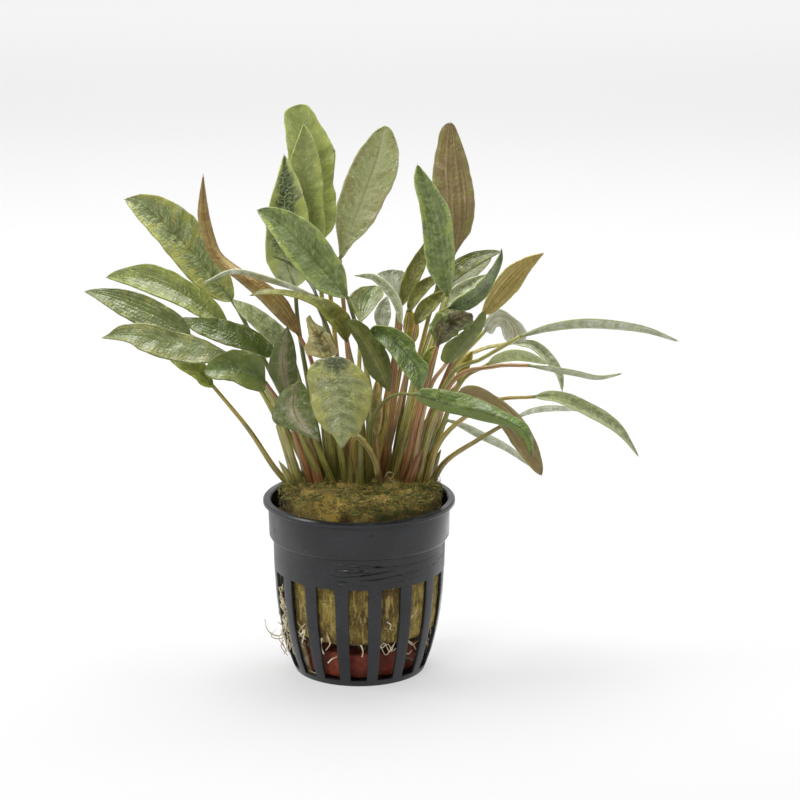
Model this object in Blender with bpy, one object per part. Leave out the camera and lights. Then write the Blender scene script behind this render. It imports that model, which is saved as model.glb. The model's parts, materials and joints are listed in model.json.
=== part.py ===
# Potted cryptocoryne: a slotted net pot, its clay weight, a rockwool plug and a crown of leaves.
# Metres, +Z up, origin at the centre of the pot's base. The front is the -Y side.
import math

import bmesh
import bpy
from mathutils import Vector

MM = 0.001

# Pot, a standard 5 cm aquatic net pot
POT_HEIGHT = 51.0 * MM
RIM_RADIUS = 27.5 * MM
RIM_DEPTH = 1.6 * MM
RIM_EDGE = 0.4 * MM
COLLAR_RADIUS = 26.1 * MM
COLLAR_FOOT_RADIUS = 25.8 * MM
COLLAR_DEPTH = 11.6 * MM
COLLAR_STEP = 0.8 * MM
BODY_TOP_RADIUS = 24.7 * MM
BASE_RADIUS = 18.7 * MM
BASE_EDGE = 0.8 * MM
BASE_THICKNESS = 1.2 * MM
WALL = 0.8 * MM
BULGE = 2.1 * MM
BULGE_LOW = 0.8
BODY_STEPS = 5
POT_SIDES = 48
SLOT_COUNT = 16
SLOT_ANGLE = math.radians(13.6)
SLOT_BOTTOM = 1.9 * MM
SLOT_TOP = 30.6 * MM
SLOT_INNER = 16.1 * MM
BASE_SLOT_COUNT = 8
BASE_SLOT_WIDTH = 2.4 * MM
BASE_SLOT_INNER = 6.5 * MM
BASE_SLOT_OUTER = 15.0 * MM

# What fills the pot
GAP = 0.3 * MM
CLAY_RADIUS = 16.5 * MM
CLAY_HEIGHT = 7.4 * MM
CLAY_EDGE = 0.6 * MM
WOOL_CENTRE_X = 0.6 * MM
WOOL_TOP_RADIUS = 23.4 * MM
WOOL_MIDDLE_RADIUS = 21.9 * MM
WOOL_BOTTOM_RADIUS = 19.2 * MM
WOOL_BOTTOM = 12.8 * MM
WOOL_TOP = 56.2 * MM
WOOL_EDGE = 1.6 * MM
PLUG_SIDES = 28
SLIT_FRONT = -1.4 * MM
SLIT_BACK = 16.2 * MM
SLIT_FLOOR = 50.6 * MM
CROWN_LENGTH = 42.0 * MM
CROWN_HEIGHT = 2.0 * MM
CROWN_END_STEPS = 6
FOOT_Z = SLIT_FLOOR + GAP + CROWN_HEIGHT + GAP

# The root that curls out of the left slot, (x, y, z) in mm, thinner to the tip
ROOT_POINTS = [(-16.6, 0.4, 10.9), (-20.4, 0.0, 10.3), (-23.8, -0.8, 9.0), (-26.6, -1.6, 11.0),
               (-27.4, -2.0, 14.6)]
ROOT_WIDTH = 1.1 * MM
ROOT_TIP_WIDTH = 0.5 * MM
ROOT_RINGS = 11
ROOT_SIDES = 6

# Leaves: their points are read on the upright plane through the pot's axis, as seen from EYE
EYE = Vector((11.7, -800.0, 289.5)) * MM
STEM_WIDTH = 1.7 * MM
TIP_WIDTH = 0.3 * MM
BLADE_THICKNESS = 0.9 * MM
TIP_THINNING = 0.6
STEM_STATIONS = (0.0, 0.22, 0.42, 0.62, 0.82)
BLADE_STATIONS = (0.0, 0.09, 0.22, 0.38, 0.55, 0.72, 0.88, 1.0)
WIDEST_AT = 0.44
FULLNESS = 0.8
FOLD = 6

# Roughness of leaf colours, and their linear colours
LEAF_ROUGHNESS = 0.35
LEAF_COLOURS = {
    "green": (0.12, 0.21, 0.05),
    "dark_green": (0.05, 0.10, 0.025),
    "grey_green": (0.21, 0.26, 0.14),
    "olive": (0.25, 0.22, 0.06),
    "bronze": (0.25, 0.14, 0.04),
    "pale": (0.58, 0.62, 0.27),
    "salmon": (0.35, 0.19, 0.10),
}

# Every leaf, in mm and degrees: foot is where its stalk leaves the crown, (x, y); stem and blade
# are points (across, up); depth is how far behind the axis the neck and the tip are; wide is the
# blade's greatest width, widest is how far along it that is and full how blunt its ends are; turn
# is how far the blade is turned about its midrib, from neck to tip, and fold is how far each half
# is folded up from flat. arch marks a leaf that bends over towards the front.
LEAVES = {
    "leaf_01": dict(foot=(-10.0, 11.1), depth=(14.0, 22.0), wide=14.0, turn=(20, 24), fold=3,
                    look="grey_green", stem=[(-31.0, 100.0)],
                    blade=[(-35.3, 108.0), (-42.0, 116.8), (-51.0, 127.2), (-60.0, 135.4), (-65.3, 137.4)]),
    "leaf_02": dict(foot=(-13.2, 8.0), depth=(4.0, 10.0), wide=9.4, turn=(26, 30), fold=10,
                    look="grey_green", stem=[(-30.0, 90.0)],
                    blade=[(-36.5, 99.5), (-41.5, 104.5), (-52.0, 111.6), (-63.0, 115.6), (-71.0, 115.0)]),
    "leaf_03": dict(foot=(-16.4, 4.9), depth=(-3.0, -6.0), wide=9.0, turn=(26, 30), fold=8,
                    look="grey_green", stem=[(-22.6, 72.0), (-32.0, 88.0)],
                    blade=[(-47.6, 98.4), (-52.0, 101.4), (-60.0, 105.4), (-70.0, 109.4), (-77.2, 111.0)]),
    "leaf_04": dict(foot=(-16.4, 1.8), depth=(-8.0, -16.0), wide=10.0, turn=(24, 30), full=0.6,
                    look="grey_green", stem=[(-24.4, 80.0)],
                    blade=[(-33.0, 90.8), (-40.0, 94.0), (-50.0, 95.2), (-62.0, 98.2), (-72.7, 97.6)]),
    "leaf_05": dict(foot=(-13.2, 4.9), depth=(-2.0, 0.0), wide=7.6, turn=(24, 24), fold=8,
                    stem=[(-19.0, 80.0)],
                    blade=[(-24.5, 92.4), (-30.0, 96.4), (-37.0, 99.2), (-44.0, 101.4), (-49.6, 103.6)]),
    "leaf_06": dict(foot=(-13.2, 1.8), depth=(-13.0, -20.0), wide=10.2, turn=(16, 20), fold=4, full=0.7,
                    look="grey_green", stem=[(-20.0, 74.0)],
                    blade=[(-26.4, 84.6), (-29.5, 87.0), (-34.0, 88.6), (-39.5, 89.0), (-43.8, 88.0)]),
    "leaf_07": dict(foot=(-19.6, 4.9), depth=(4.0, 2.0), wide=7.4, turn=(20, 26),
                    look="olive", stem=[(-24.2, 59.4), (-31.5, 71.0)],
                    blade=[(-41.2, 83.4), (-44.6, 87.2), (-48.6, 90.6), (-52.6, 93.2), (-57.0, 95.6)]),
    "leaf_08": dict(foot=(-10.0, 1.8), depth=(-9.0, -11.0), wide=8.4, fold=10,
                    stem=[(-16.0, 68.0)],
                    blade=[(-19.6, 80.6), (-21.0, 86.0), (-21.6, 91.0), (-21.0, 96.0), (-20.1, 101.0)]),
    "leaf_09": dict(foot=(-6.8, 1.8), depth=(-16.0, -28.0), wide=12.8, full=0.7, fold=-6, arch=True,
                    stem=[(-12.6, 68.0), (-16.0, 81.0)],
                    blade=[(-17.4, 84.6), (-18.6, 81.0), (-18.4, 76.0), (-15.6, 71.0), (-11.2, 67.2)]),
    "leaf_10": dict(foot=(-3.6, 1.8), depth=(-20.0, -36.0), wide=18.4, fold=-6, arch=True,
                    stem=[(-6.0, 70.0), (-7.4, 88.0)],
                    blade=[(-7.2, 92.0), (-6.2, 88.0), (-5.4, 80.6), (-5.2, 73.0), (-4.8, 64.8)]),
    "leaf_11": dict(foot=(-6.8, 4.9), depth=(-10.0, -11.0), wide=7.0, fold=35,
                    look="pale", stem=[(-8.4, 72.0)],
                    blade=[(-8.8, 91.0), (-9.6, 94.6), (-11.2, 98.2), (-12.6, 101.6), (-13.8, 104.2)]),
    "leaf_12": dict(foot=(-6.8, 8.0), depth=(1.0, 8.0), wide=6.4, turn=(0, 40, 62, 50, 62),
                    look="bronze", stem=[(-12.6, 88.0)],
                    blade=[(-16.8, 98.4), (-23.4, 106.6), (-32.2, 114.2), (-39.8, 120.6), (-42.9, 131.0),
                           (-43.1, 144.6)]),
    "leaf_13": dict(foot=(-0.4, 8.0), depth=(0.0, -5.0), wide=5.0, turn=(70, 74, 70),
                    look="dark_green", stem=[(-6.4, 92.0)],
                    blade=[(-12.4, 109.6), (-17.0, 111.6), (-25.0, 114.4), (-35.0, 116.8), (-43.6, 113.4)]),
    "leaf_14": dict(foot=(-3.6, 4.9), depth=(-5.0, -12.0), wide=6.0, turn=(40, 40, 68, 68),
                    look="olive", stem=[(-1.0, 82.0)],
                    blade=[(-3.2, 96.6), (-7.6, 103.6), (-13.0, 108.4), (-22.0, 110.8), (-30.7, 109.8)]),
    "leaf_15": dict(foot=(-10.0, 4.9), depth=(-3.0, 3.0), wide=5.4, fold=10,
                    look="olive", stem=[(-16.0, 82.0)],
                    blade=[(-19.4, 94.4), (-23.0, 98.4), (-27.0, 102.0), (-31.0, 105.2), (-35.6, 108.8)]),
    "leaf_16": dict(foot=(-3.6, 14.2), depth=(24.0, 34.0), wide=14.2, fold=8, full=0.5, widest=0.55,
                    look="grey_green", stem=[(-6.4, 95.0)],
                    blade=[(-9.6, 125.6), (-12.4, 134.0), (-13.6, 144.0), (-15.2, 154.0), (-16.6, 164.0)]),
    "leaf_17": dict(foot=(-6.8, 14.2), depth=(19.0, 23.0), wide=9.6, fold=10,
                    stem=[(-9.0, 95.0)],
                    blade=[(-11.8, 124.6), (-13.0, 133.0), (-14.2, 141.0), (-14.8, 150.0), (-15.0, 158.8)]),
    "leaf_18": dict(foot=(-10.0, 14.2), depth=(13.0, 16.0), wide=12.2, fold=14,
                    look="dark_green", stem=[(-16.4, 97.0)],
                    blade=[(-17.8, 112.0), (-20.7, 121.0), (-21.2, 131.0), (-20.6, 141.0), (-20.5, 150.2)]),
    "leaf_19": dict(foot=(2.8, 8.0), depth=(4.0, 6.0), wide=12.6, turn=(18, 24), fold=10, widest=0.5,
                    look="grey_green", stem=[(2.2, 88.0)],
                    blade=[(-2.9, 109.0), (-8.0, 115.2), (-14.9, 123.4), (-21.8, 130.4), (-28.4, 134.4)]),
    "leaf_20": dict(foot=(-3.6, 11.1), depth=(9.0, 9.5), wide=4.0, turn=(72, 76, 72),
                    look="dark_green", stem=[(-7.6, 92.0)],
                    blade=[(-11.4, 109.0), (-13.4, 113.4), (-16.4, 117.2), (-20.0, 119.6), (-24.0, 121.2)]),
    "leaf_21": dict(foot=(-0.4, 11.1), depth=(13.0, 20.0), wide=13.8, fold=8, full=0.65, widest=0.56,
                    stem=[(-3.0, 92.0)],
                    blade=[(-5.2, 120.4), (-2.6, 127.4), (0.8, 136.6), (4.6, 147.4), (7.5, 158.2)]),
    "leaf_22": dict(foot=(12.4, 4.9), depth=(-6.0, -2.0), wide=9.0, fold=14,
                    stem=[(20.6, 88.0)],
                    blade=[(25.0, 109.6), (23.9, 116.0), (22.3, 127.0), (19.5, 138.0), (16.5, 147.4)]),
    "leaf_23": dict(foot=(12.4, 11.1), depth=(18.0, 26.0), wide=12.2, fold=8, full=0.6, widest=0.5,
                    look="bronze", stem=[(22.0, 96.0)],
                    blade=[(26.4, 119.4), (26.8, 127.0), (26.4, 138.0), (25.8, 149.0), (25.8, 159.2)]),
    "leaf_24": dict(foot=(2.8, 11.1), depth=(8.0, 11.0), wide=5.2, fold=10,
                    look="olive", stem=[(10.0, 92.0)],
                    blade=[(11.8, 106.6), (13.4, 111.0), (15.4, 116.0), (17.8, 121.0), (20.6, 127.2)]),
    "leaf_25": dict(foot=(6.0, 11.1), depth=(4.6, 13.0), wide=4.2, fold=8,
                    look="olive", stem=[(12.0, 90.0)],
                    blade=[(14.2, 105.0), (15.6, 109.0), (18.0, 112.2), (20.8, 114.4), (24.2, 116.6)]),
    "leaf_26": dict(foot=(6.0, 8.0), depth=(1.0, 5.0), wide=5.4, fold=10,
                    look="olive", stem=[(13.2, 86.0)],
                    blade=[(16.2, 101.6), (17.8, 104.8), (20.0, 107.4), (22.4, 109.4), (24.6, 111.2)]),
    "leaf_27": dict(foot=(9.2, 11.1), depth=(9.0, 17.0), wide=5.6, turn=(-20, -26), fold=10,
                    look="olive", stem=[(17.0, 92.0)],
                    blade=[(21.6, 110.6), (24.6, 114.8), (29.0, 118.4), (34.0, 121.0), (40.0, 122.6)]),
    "leaf_28": dict(foot=(12.4, 14.2), depth=(22.0, 36.0), wide=5.6, turn=(-20, -26),
                    look="grey_green", stem=[(20.0, 92.0)],
                    blade=[(24.6, 111.0), (27.6, 114.4), (30.6, 116.6), (34.0, 118.6), (37.4, 120.6)]),
    "leaf_29": dict(foot=(9.2, 8.0), depth=(3.0, 9.0), wide=3.8, fold=8,
                    look="olive", stem=[(18.0, 88.0)],
                    blade=[(23.4, 104.8), (25.4, 108.4), (28.6, 111.4), (32.2, 113.8), (36.0, 116.0)]),
    "leaf_30": dict(foot=(9.2, 4.9), depth=(-11.0, -6.0), wide=4.6, turn=(0, 0, 20, 78),
                    stem=[(15.0, 82.0), (21.6, 103.0)],
                    blade=[(25.4, 106.2), (30.0, 107.8), (34.6, 111.2), (38.0, 116.6), (40.2, 123.4)]),
    "leaf_31": dict(foot=(12.4, 8.0), depth=(4.0, 9.0), wide=8.0, turn=(-18, -24), fold=10,
                    look="bronze", stem=[(27.0, 92.0)],
                    blade=[(34.6, 104.4), (37.2, 107.2), (41.0, 111.8), (46.0, 117.2), (52.1, 122.1)]),
    "leaf_32": dict(foot=(11.6, 1.8), depth=(-14.0, -18.0), wide=8.4, fold=38,
                    look="bronze", stem=[(19.0, 84.0)],
                    blade=[(22.3, 95.2), (23.4, 98.2), (25.4, 101.0), (28.4, 103.4), (32.0, 104.6)]),
    "leaf_33": dict(foot=(14.0, 1.8), depth=(-9.0, -9.0), wide=7.2, fold=16,
                    stem=[(19.6, 81.0)],
                    blade=[(24.8, 90.2), (27.0, 93.2), (30.0, 97.0), (33.0, 101.0), (35.3, 105.2)]),
    "leaf_34": dict(foot=(15.6, 14.2), depth=(18.0, 26.0), wide=6.4, full=0.5, widest=0.6,
                    look="grey_green", stem=[(25.0, 86.0)],
                    blade=[(35.6, 99.6), (37.6, 102.8), (40.6, 103.8), (43.4, 101.6), (44.6, 96.2)]),
    "leaf_35": dict(foot=(15.6, 4.9), depth=(-4.0, 14.0), wide=6.2, turn=(-76, -78, -70),
                    look="grey_green", stem=[(25.0, 85.0), (35.0, 91.6)],
                    blade=[(45.6, 98.0), (55.0, 100.8), (66.0, 101.8), (80.0, 100.2), (90.4, 96.6)]),
    "leaf_36": dict(foot=(15.6, 8.0), depth=(3.0, 16.0), wide=4.6, turn=(-68, -66, -70),
                    look="salmon", stem=[(26.0, 84.0), (38.0, 89.2)],
                    blade=[(48.0, 89.6), (56.0, 88.3), (62.0, 87.2), (68.0, 86.0), (74.6, 87.2)]),
    "leaf_37": dict(foot=(18.8, 8.0), depth=(8.0, 14.0), wide=4.8, turn=(-38, -44),
                    stem=[(28.0, 83.0)],
                    blade=[(36.4, 89.8), (40.0, 91.8), (44.6, 92.6), (49.0, 91.8), (53.4, 90.0)]),
    "leaf_38": dict(foot=(18.4, 1.8), depth=(-10.0, -2.0), wide=6.4, turn=(-44, -50), fold=10,
                    look="olive", stem=[(24.0, 68.6), (37.6, 78.8)],
                    blade=[(49.6, 80.4), (56.0, 80.6), (65.0, 77.1), (74.0, 71.0), (79.8, 62.8)]),
    "leaf_39": dict(foot=(20.4, 4.9), depth=(4.0, 14.0), wide=4.4, turn=(-68, -70),
                    look="olive", stem=[(25.0, 61.6), (35.0, 68.4)],
                    blade=[(44.6, 74.2), (49.0, 76.2), (54.0, 77.0), (59.0, 76.9), (64.4, 76.4)]),
    "leaf_40": dict(foot=(2.8, 1.8), depth=(-24.0, -30.0), wide=8.2, turn=(-12, -20), fold=24,
                    look="grey_green", stem=[(3.4, 72.0), (9.0, 80.4)],
                    blade=[(16.4, 81.2), (24.0, 80.0), (34.0, 77.0), (44.4, 72.6), (49.2, 62.6)]),
    "leaf_41": dict(foot=(16.2, 1.8), depth=(-8.0, -12.0), wide=6.4, turn=(-16, -20), fold=10,
                    look="bronze", stem=[(22.0, 76.0)],
                    blade=[(28.2, 81.6), (33.0, 80.6), (39.4, 77.0), (45.4, 69.4), (52.3, 57.0)]),
    "leaf_42": dict(foot=(18.8, 11.1), depth=(14.0, 22.0), wide=4.0, turn=(-60, -60),
                    look="grey_green", stem=[(20.6, 66.0)],
                    blade=[(25.0, 73.6), (29.0, 72.2), (35.0, 69.0), (42.4, 65.2), (49.2, 59.8)]),
    "leaf_43": dict(foot=(2.8, 4.9), depth=(-7.0, -11.0), wide=8.0, fold=16,
                    look="dark_green", stem=[(7.2, 70.0)],
                    blade=[(8.6, 82.2), (7.0, 87.0), (4.8, 92.0), (1.4, 97.4), (-3.6, 102.6)]),
    "leaf_44": dict(foot=(-0.4, 4.9), depth=(-2.0, -16.0), wide=8.0, fold=2,
                    stem=[(3.6, 76.0), (1.8, 92.0)],
                    blade=[(4.4, 98.2), (8.4, 97.4), (12.6, 93.8), (16.2, 88.6), (17.4, 82.2)]),
    "leaf_45": dict(foot=(-0.4, 14.2), depth=(27.0, 40.0), wide=9.4, full=0.7,
                    look="grey_green", stem=[(0.0, 82.0), (0.4, 97.0)],
                    blade=[(0.6, 102.2), (1.4, 105.0), (2.4, 107.8), (3.4, 110.4), (4.4, 112.8)]),
    "leaf_46": dict(foot=(6.0, 14.2), depth=(16.0, 19.0), wide=7.8, fold=8, full=0.5, widest=0.62,
                    look="grey_green", stem=[(9.8, 90.0)],
                    blade=[(11.2, 106.4), (10.8, 109.4), (10.3, 112.2), (9.9, 114.8), (9.6, 117.4)]),
    "leaf_47": dict(foot=(2.8, 14.2), depth=(11.0, 13.0), wide=4.8, fold=10,
                    look="dark_green", stem=[(6.6, 88.0)],
                    blade=[(7.0, 99.6), (6.7, 102.0), (6.8, 104.6), (7.3, 107.0), (8.0, 109.6)]),
    "leaf_48": dict(foot=(6.0, 4.9), depth=(-5.0, -9.0), wide=3.0, fold=12,
                    look="olive", stem=[(9.6, 82.0)],
                    blade=[(11.9, 101.4), (11.1, 107.0), (8.4, 111.6), (4.0, 115.2), (-1.2, 115.6)]),
    "leaf_49": dict(foot=(9.2, 14.2), depth=(14.0, 13.0), wide=4.6, fold=20,
                    look="olive", stem=[(13.6, 86.0)],
                    blade=[(14.9, 95.6), (15.0, 98.4), (14.8, 101.2), (14.5, 103.8), (14.0, 106.4)]),
    "leaf_50": dict(foot=(15.6, 11.1), depth=(15.0, 13.0), wide=3.4, fold=10,
                    look="olive", stem=[(24.0, 78.0)],
                    blade=[(28.2, 84.2), (28.9, 86.6), (29.8, 89.0), (31.0, 91.4), (32.2, 93.8)]),
    "leaf_51": dict(foot=(18.8, 14.2), depth=(34.0, 37.0), wide=4.4, fold=8,
                    look="grey_green", stem=[(27.0, 88.0), (34.0, 94.0)],
                    blade=[(43.4, 96.2), (49.4, 95.6), (54.0, 91.6), (57.0, 87.0), (57.8, 81.9)]),
    "leaf_52": dict(foot=(9.2, 1.8), depth=(-5.0, -6.0), wide=2.8, fold=14,
                    look="dark_green", stem=[(15.4, 76.0)],
                    blade=[(18.6, 86.6), (18.8, 89.4), (19.4, 91.8), (20.4, 93.8), (21.9, 95.2)]),
    "sheath_01": dict(foot=(6.0, 1.8), depth=(-5.0, -6.0), wide=3.6, fold=10,
                      look="salmon", stem=[(5.2, 62.0)],
                      blade=[(5.0, 69.0), (4.9, 73.0), (4.9, 77.0), (5.0, 81.4), (5.1, 85.6)]),
    "stalk_01": dict(foot=(-0.4, 1.8), depth=(-2.4, -6.0), wide=1.6, fold=0,
                     look="salmon", stem=[(-1.6, 62.4)],
                     blade=[(-1.5, 66.8), (-0.6, 68.7), (1.2, 67.4), (3.0, 64.8), (4.6, 61.4)]),
}


def move_to_depth(across, up, depth):
    """The point that is seen at (across, up) on the axis plane, carried back to its depth."""
    seen = Vector((across * MM, 0.0, up * MM))
    return EYE + (seen - EYE) * (1.0 - depth * MM / EYE.y)


def material(name, colour, roughness, metallic=0.0):
    made = bpy.data.materials.new(name)
    made.use_nodes = True
    shader = made.node_tree.nodes["Principled BSDF"]
    shader.inputs["Base Color"].default_value = (*colour, 1.0)
    shader.inputs["Roughness"].default_value = roughness
    shader.inputs["Metallic"].default_value = metallic
    return made


def add_object(name, mesh, look):
    made = bpy.data.objects.new(name, mesh)
    bpy.context.scene.collection.objects.link(made)
    mesh.materials.append(look)
    return made


def mesh_from(name, bm):
    bmesh.ops.recalc_face_normals(bm, faces=bm.faces)
    mesh = bpy.data.meshes.new(name)
    bm.to_mesh(mesh)
    bm.free()
    return mesh


def join_rings(bm, low, high):
    """The faces between two rings, where a ring of one point closes to it."""
    sides = max(len(low), len(high))
    for i in range(sides):
        j = (i + 1) % sides
        corners = [low[i % len(low)], low[j % len(low)], high[j % len(high)], high[i % len(high)]]
        bm.faces.new(list(dict.fromkeys(corners)))


def turned(name, profile, sides, centre_x=0.0):
    """A closed solid turned about a vertical line from (radius, z) points, axis to axis."""
    bm = bmesh.new()
    rings = []
    angles = [math.tau * i / sides for i in range(sides)]
    for radius, z in profile:
        ring_angles = angles if radius > 0.0 else [0.0]
        rings.append([bm.verts.new((centre_x + radius * math.cos(a), radius * math.sin(a), z))
                      for a in ring_angles])
    for low, high in zip(rings, rings[1:]):
        join_rings(bm, low, high)
    return mesh_from(name, bm)


def body_radius(z):
    """The pot's outer radius below the collar: a taper with a slight bulge."""
    t = z / (POT_HEIGHT - COLLAR_DEPTH)
    return BASE_RADIUS + (BODY_TOP_RADIUS - BASE_RADIUS) * t + BULGE * math.sin(math.pi * t ** BULGE_LOW)


def pot_profile():
    step_z = POT_HEIGHT - COLLAR_DEPTH
    rim_z = POT_HEIGHT - RIM_DEPTH
    heights = [step_z * i / BODY_STEPS for i in range(1, BODY_STEPS + 1)]
    outer = [(0.0, 0.0), (BASE_RADIUS - BASE_EDGE, 0.0), (body_radius(BASE_EDGE), BASE_EDGE)]
    outer += [(body_radius(z), z) for z in heights]
    rim = [(COLLAR_FOOT_RADIUS, step_z + COLLAR_STEP), (COLLAR_RADIUS, rim_z),
           (RIM_RADIUS, rim_z + RIM_EDGE), (RIM_RADIUS, POT_HEIGHT - RIM_EDGE),
           (RIM_RADIUS - RIM_EDGE, POT_HEIGHT), (COLLAR_RADIUS - RIM_EDGE, POT_HEIGHT),
           (COLLAR_RADIUS - WALL, POT_HEIGHT - RIM_EDGE),
           (COLLAR_FOOT_RADIUS - WALL, step_z + COLLAR_STEP + RIM_EDGE)]
    inner = [(body_radius(z) - WALL, z) for z in reversed(heights)]
    floor = [(body_radius(BASE_THICKNESS) - WALL, BASE_THICKNESS), (0.0, BASE_THICKNESS)]
    return outer + rim + inner + floor


def add_box_faces(bm, corners):
    bottom, top = corners[:4], corners[4:]
    bm.faces.new(bottom[::-1])
    bm.faces.new(top)
    join_rings(bm, bottom, top)


def add_wedge(bm, angle, half_angle, radii, heights):
    """A cutter with radial sides."""
    corners = []
    for z in heights:
        for radius, side in ((radii[0], -1), (radii[1], -1), (radii[1], 1), (radii[0], 1)):
            a = angle + side * half_angle
            corners.append(bm.verts.new((radius * math.cos(a), radius * math.sin(a), z)))
    add_box_faces(bm, corners)


def add_bar(bm, angle, half_width, radii, heights):
    """A cutter with parallel sides, pointing out from the axis."""
    along = Vector((math.cos(angle), math.sin(angle), 0.0))
    beside = Vector((-along.y, along.x, 0.0))
    corners = []
    for z in heights:
        for radius, side in ((radii[0], -1), (radii[1], -1), (radii[1], 1), (radii[0], 1)):
            place = along * radius + beside * side * half_width
            corners.append(bm.verts.new((place.x, place.y, z)))
    add_box_faces(bm, corners)


def cut(target, bm, name):
    """Takes the closed shapes in bm out of the target."""
    cutter = bpy.data.objects.new(name, mesh_from(name, bm))
    bpy.context.scene.collection.objects.link(cutter)
    cutter.hide_render = True
    cutter.display_type = "WIRE"
    boolean = target.modifiers.new(name, "BOOLEAN")
    boolean.operation = "DIFFERENCE"
    boolean.object = cutter


def make_pot(look):
    pot = add_object("pot", turned("pot", pot_profile(), POT_SIDES), look)
    side_slots = bmesh.new()
    for i in range(SLOT_COUNT):
        angle = math.tau * i / SLOT_COUNT - math.pi / 2
        add_wedge(side_slots, angle, SLOT_ANGLE / 2, (SLOT_INNER, RIM_RADIUS), (SLOT_BOTTOM, SLOT_TOP))
    cut(pot, side_slots, "side_slots")
    base_slots = bmesh.new()
    for i in range(BASE_SLOT_COUNT):
        angle = math.tau * (i + 0.5) / BASE_SLOT_COUNT
        add_bar(base_slots, angle, BASE_SLOT_WIDTH / 2, (BASE_SLOT_INNER, BASE_SLOT_OUTER),
                (-BASE_THICKNESS, BASE_THICKNESS + GAP))
    cut(pot, base_slots, "base_slots")


def make_clay_disc(look):
    low = BASE_THICKNESS + GAP
    high = low + CLAY_HEIGHT
    profile = [(0.0, low), (CLAY_RADIUS - CLAY_EDGE, low), (CLAY_RADIUS, low + CLAY_EDGE),
               (CLAY_RADIUS, high - CLAY_EDGE), (CLAY_RADIUS - CLAY_EDGE, high), (0.0, high)]
    add_object("clay_disc", turned("clay_disc", profile, PLUG_SIDES), look)


def make_rockwool(look):
    """A tapered plug, slit right across so that the plant's crown can sit in it."""
    profile = [(0.0, WOOL_BOTTOM), (WOOL_BOTTOM_RADIUS - WOOL_EDGE, WOOL_BOTTOM),
               (WOOL_BOTTOM_RADIUS, WOOL_BOTTOM + WOOL_EDGE),
               (WOOL_MIDDLE_RADIUS, (WOOL_TOP + WOOL_BOTTOM) / 2),
               (WOOL_TOP_RADIUS, WOOL_TOP - 2 * WOOL_EDGE),
               (WOOL_TOP_RADIUS - WOOL_EDGE / 2, WOOL_TOP - WOOL_EDGE / 2),
               (WOOL_TOP_RADIUS - 1.5 * WOOL_EDGE, WOOL_TOP), (0.0, WOOL_TOP)]
    plug = add_object("rockwool", turned("rockwool", profile, PLUG_SIDES, WOOL_CENTRE_X), look)
    slit = bmesh.new()
    reach = 1.5 * WOOL_TOP_RADIUS
    corners = []
    for z in (SLIT_FLOOR, WOOL_TOP + WOOL_EDGE):
        for x, y in ((-reach, SLIT_FRONT), (reach, SLIT_FRONT), (reach, SLIT_BACK), (-reach, SLIT_BACK)):
            corners.append(slit.verts.new((x, y, z)))
    add_box_faces(slit, corners)
    cut(plug, slit, "slit")


def make_crown(look):
    """The short rhizome in the slit, a flat bar with rounded ends."""
    bm = bmesh.new()
    half_width = (SLIT_BACK - SLIT_FRONT) / 2 - GAP
    middle_y = (SLIT_BACK + SLIT_FRONT) / 2
    reach = CROWN_LENGTH / 2 - half_width
    outline = []
    for end, start in ((1, -math.pi / 2), (-1, math.pi / 2)):
        for i in range(CROWN_END_STEPS + 1):
            a = start + math.pi * i / CROWN_END_STEPS
            outline.append((end * reach + half_width * math.cos(a), middle_y + half_width * math.sin(a)))
    low = SLIT_FLOOR + GAP
    bottom = [bm.verts.new((x, y, low)) for x, y in outline]
    top = [bm.verts.new((x, y, low + CROWN_HEIGHT)) for x, y in outline]
    bm.faces.new(bottom[::-1])
    bm.faces.new(top)
    join_rings(bm, bottom, top)
    add_object("crown", mesh_from("crown", bm), look)


def read_curve(points, t):
    """A smooth curve through the points, read at t from 0 at the first to 1 at the last."""
    spans = len(points) - 1
    place = min(max(t, 0.0), 1.0) * spans
    i = min(int(place), spans - 1)
    u = place - i
    a = points[i - 1] if i > 0 else points[0] * 2 - points[1]
    b, c = points[i], points[i + 1]
    d = points[i + 2] if i + 2 <= spans else points[spans] * 2 - points[spans - 1]
    bend = 2 * a - 5 * b + 4 * c - d
    twist = 3 * b - a - 3 * c + d
    return 0.5 * (2 * b + (c - a) * u + bend * u ** 2 + twist * u ** 3)


def read_tangent(points, t):
    """The curve's direction at t, taken from two points close by."""
    step = 0.01
    return (read_curve(points, t + step) - read_curve(points, t - step)).normalized()


def read_values(values, t):
    """A plain list of values spread evenly from 0 to 1, read at t."""
    place = min(max(t, 0.0), 1.0) * (len(values) - 1)
    i = min(int(place), len(values) - 2)
    return values[i] + (values[i + 1] - values[i]) * (place - i)


def blade_share(leaf, t):
    """The blade's width at t along it, as a share of its greatest width."""
    rise = math.log(0.5) / math.log(leaf.get("widest", WIDEST_AT))
    return math.sin(math.pi * t ** rise) ** leaf.get("full", FULLNESS) if 0.0 < t < 1.0 else 0.0


def leaf_path(leaf):
    """The leaf's midrib from its foot on the crown to its tip, and where along it the neck is."""
    neck_depth, tip_depth = leaf["depth"]
    foot_y = leaf["foot"][1]
    path = [Vector((leaf["foot"][0] * MM, foot_y * MM, FOOT_Z))]
    for i, (across, up) in enumerate(leaf["stem"]):
        share = (i + 1) / (len(leaf["stem"]) + 1)
        path.append(move_to_depth(across, up, foot_y + (neck_depth - foot_y) * share))
    neck = len(path)
    for i, (across, up) in enumerate(leaf["blade"]):
        share = i / (len(leaf["blade"]) - 1)
        path.append(move_to_depth(across, up, neck_depth + (tip_depth - neck_depth) * share))
    return path, neck / (len(path) - 1)


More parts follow.
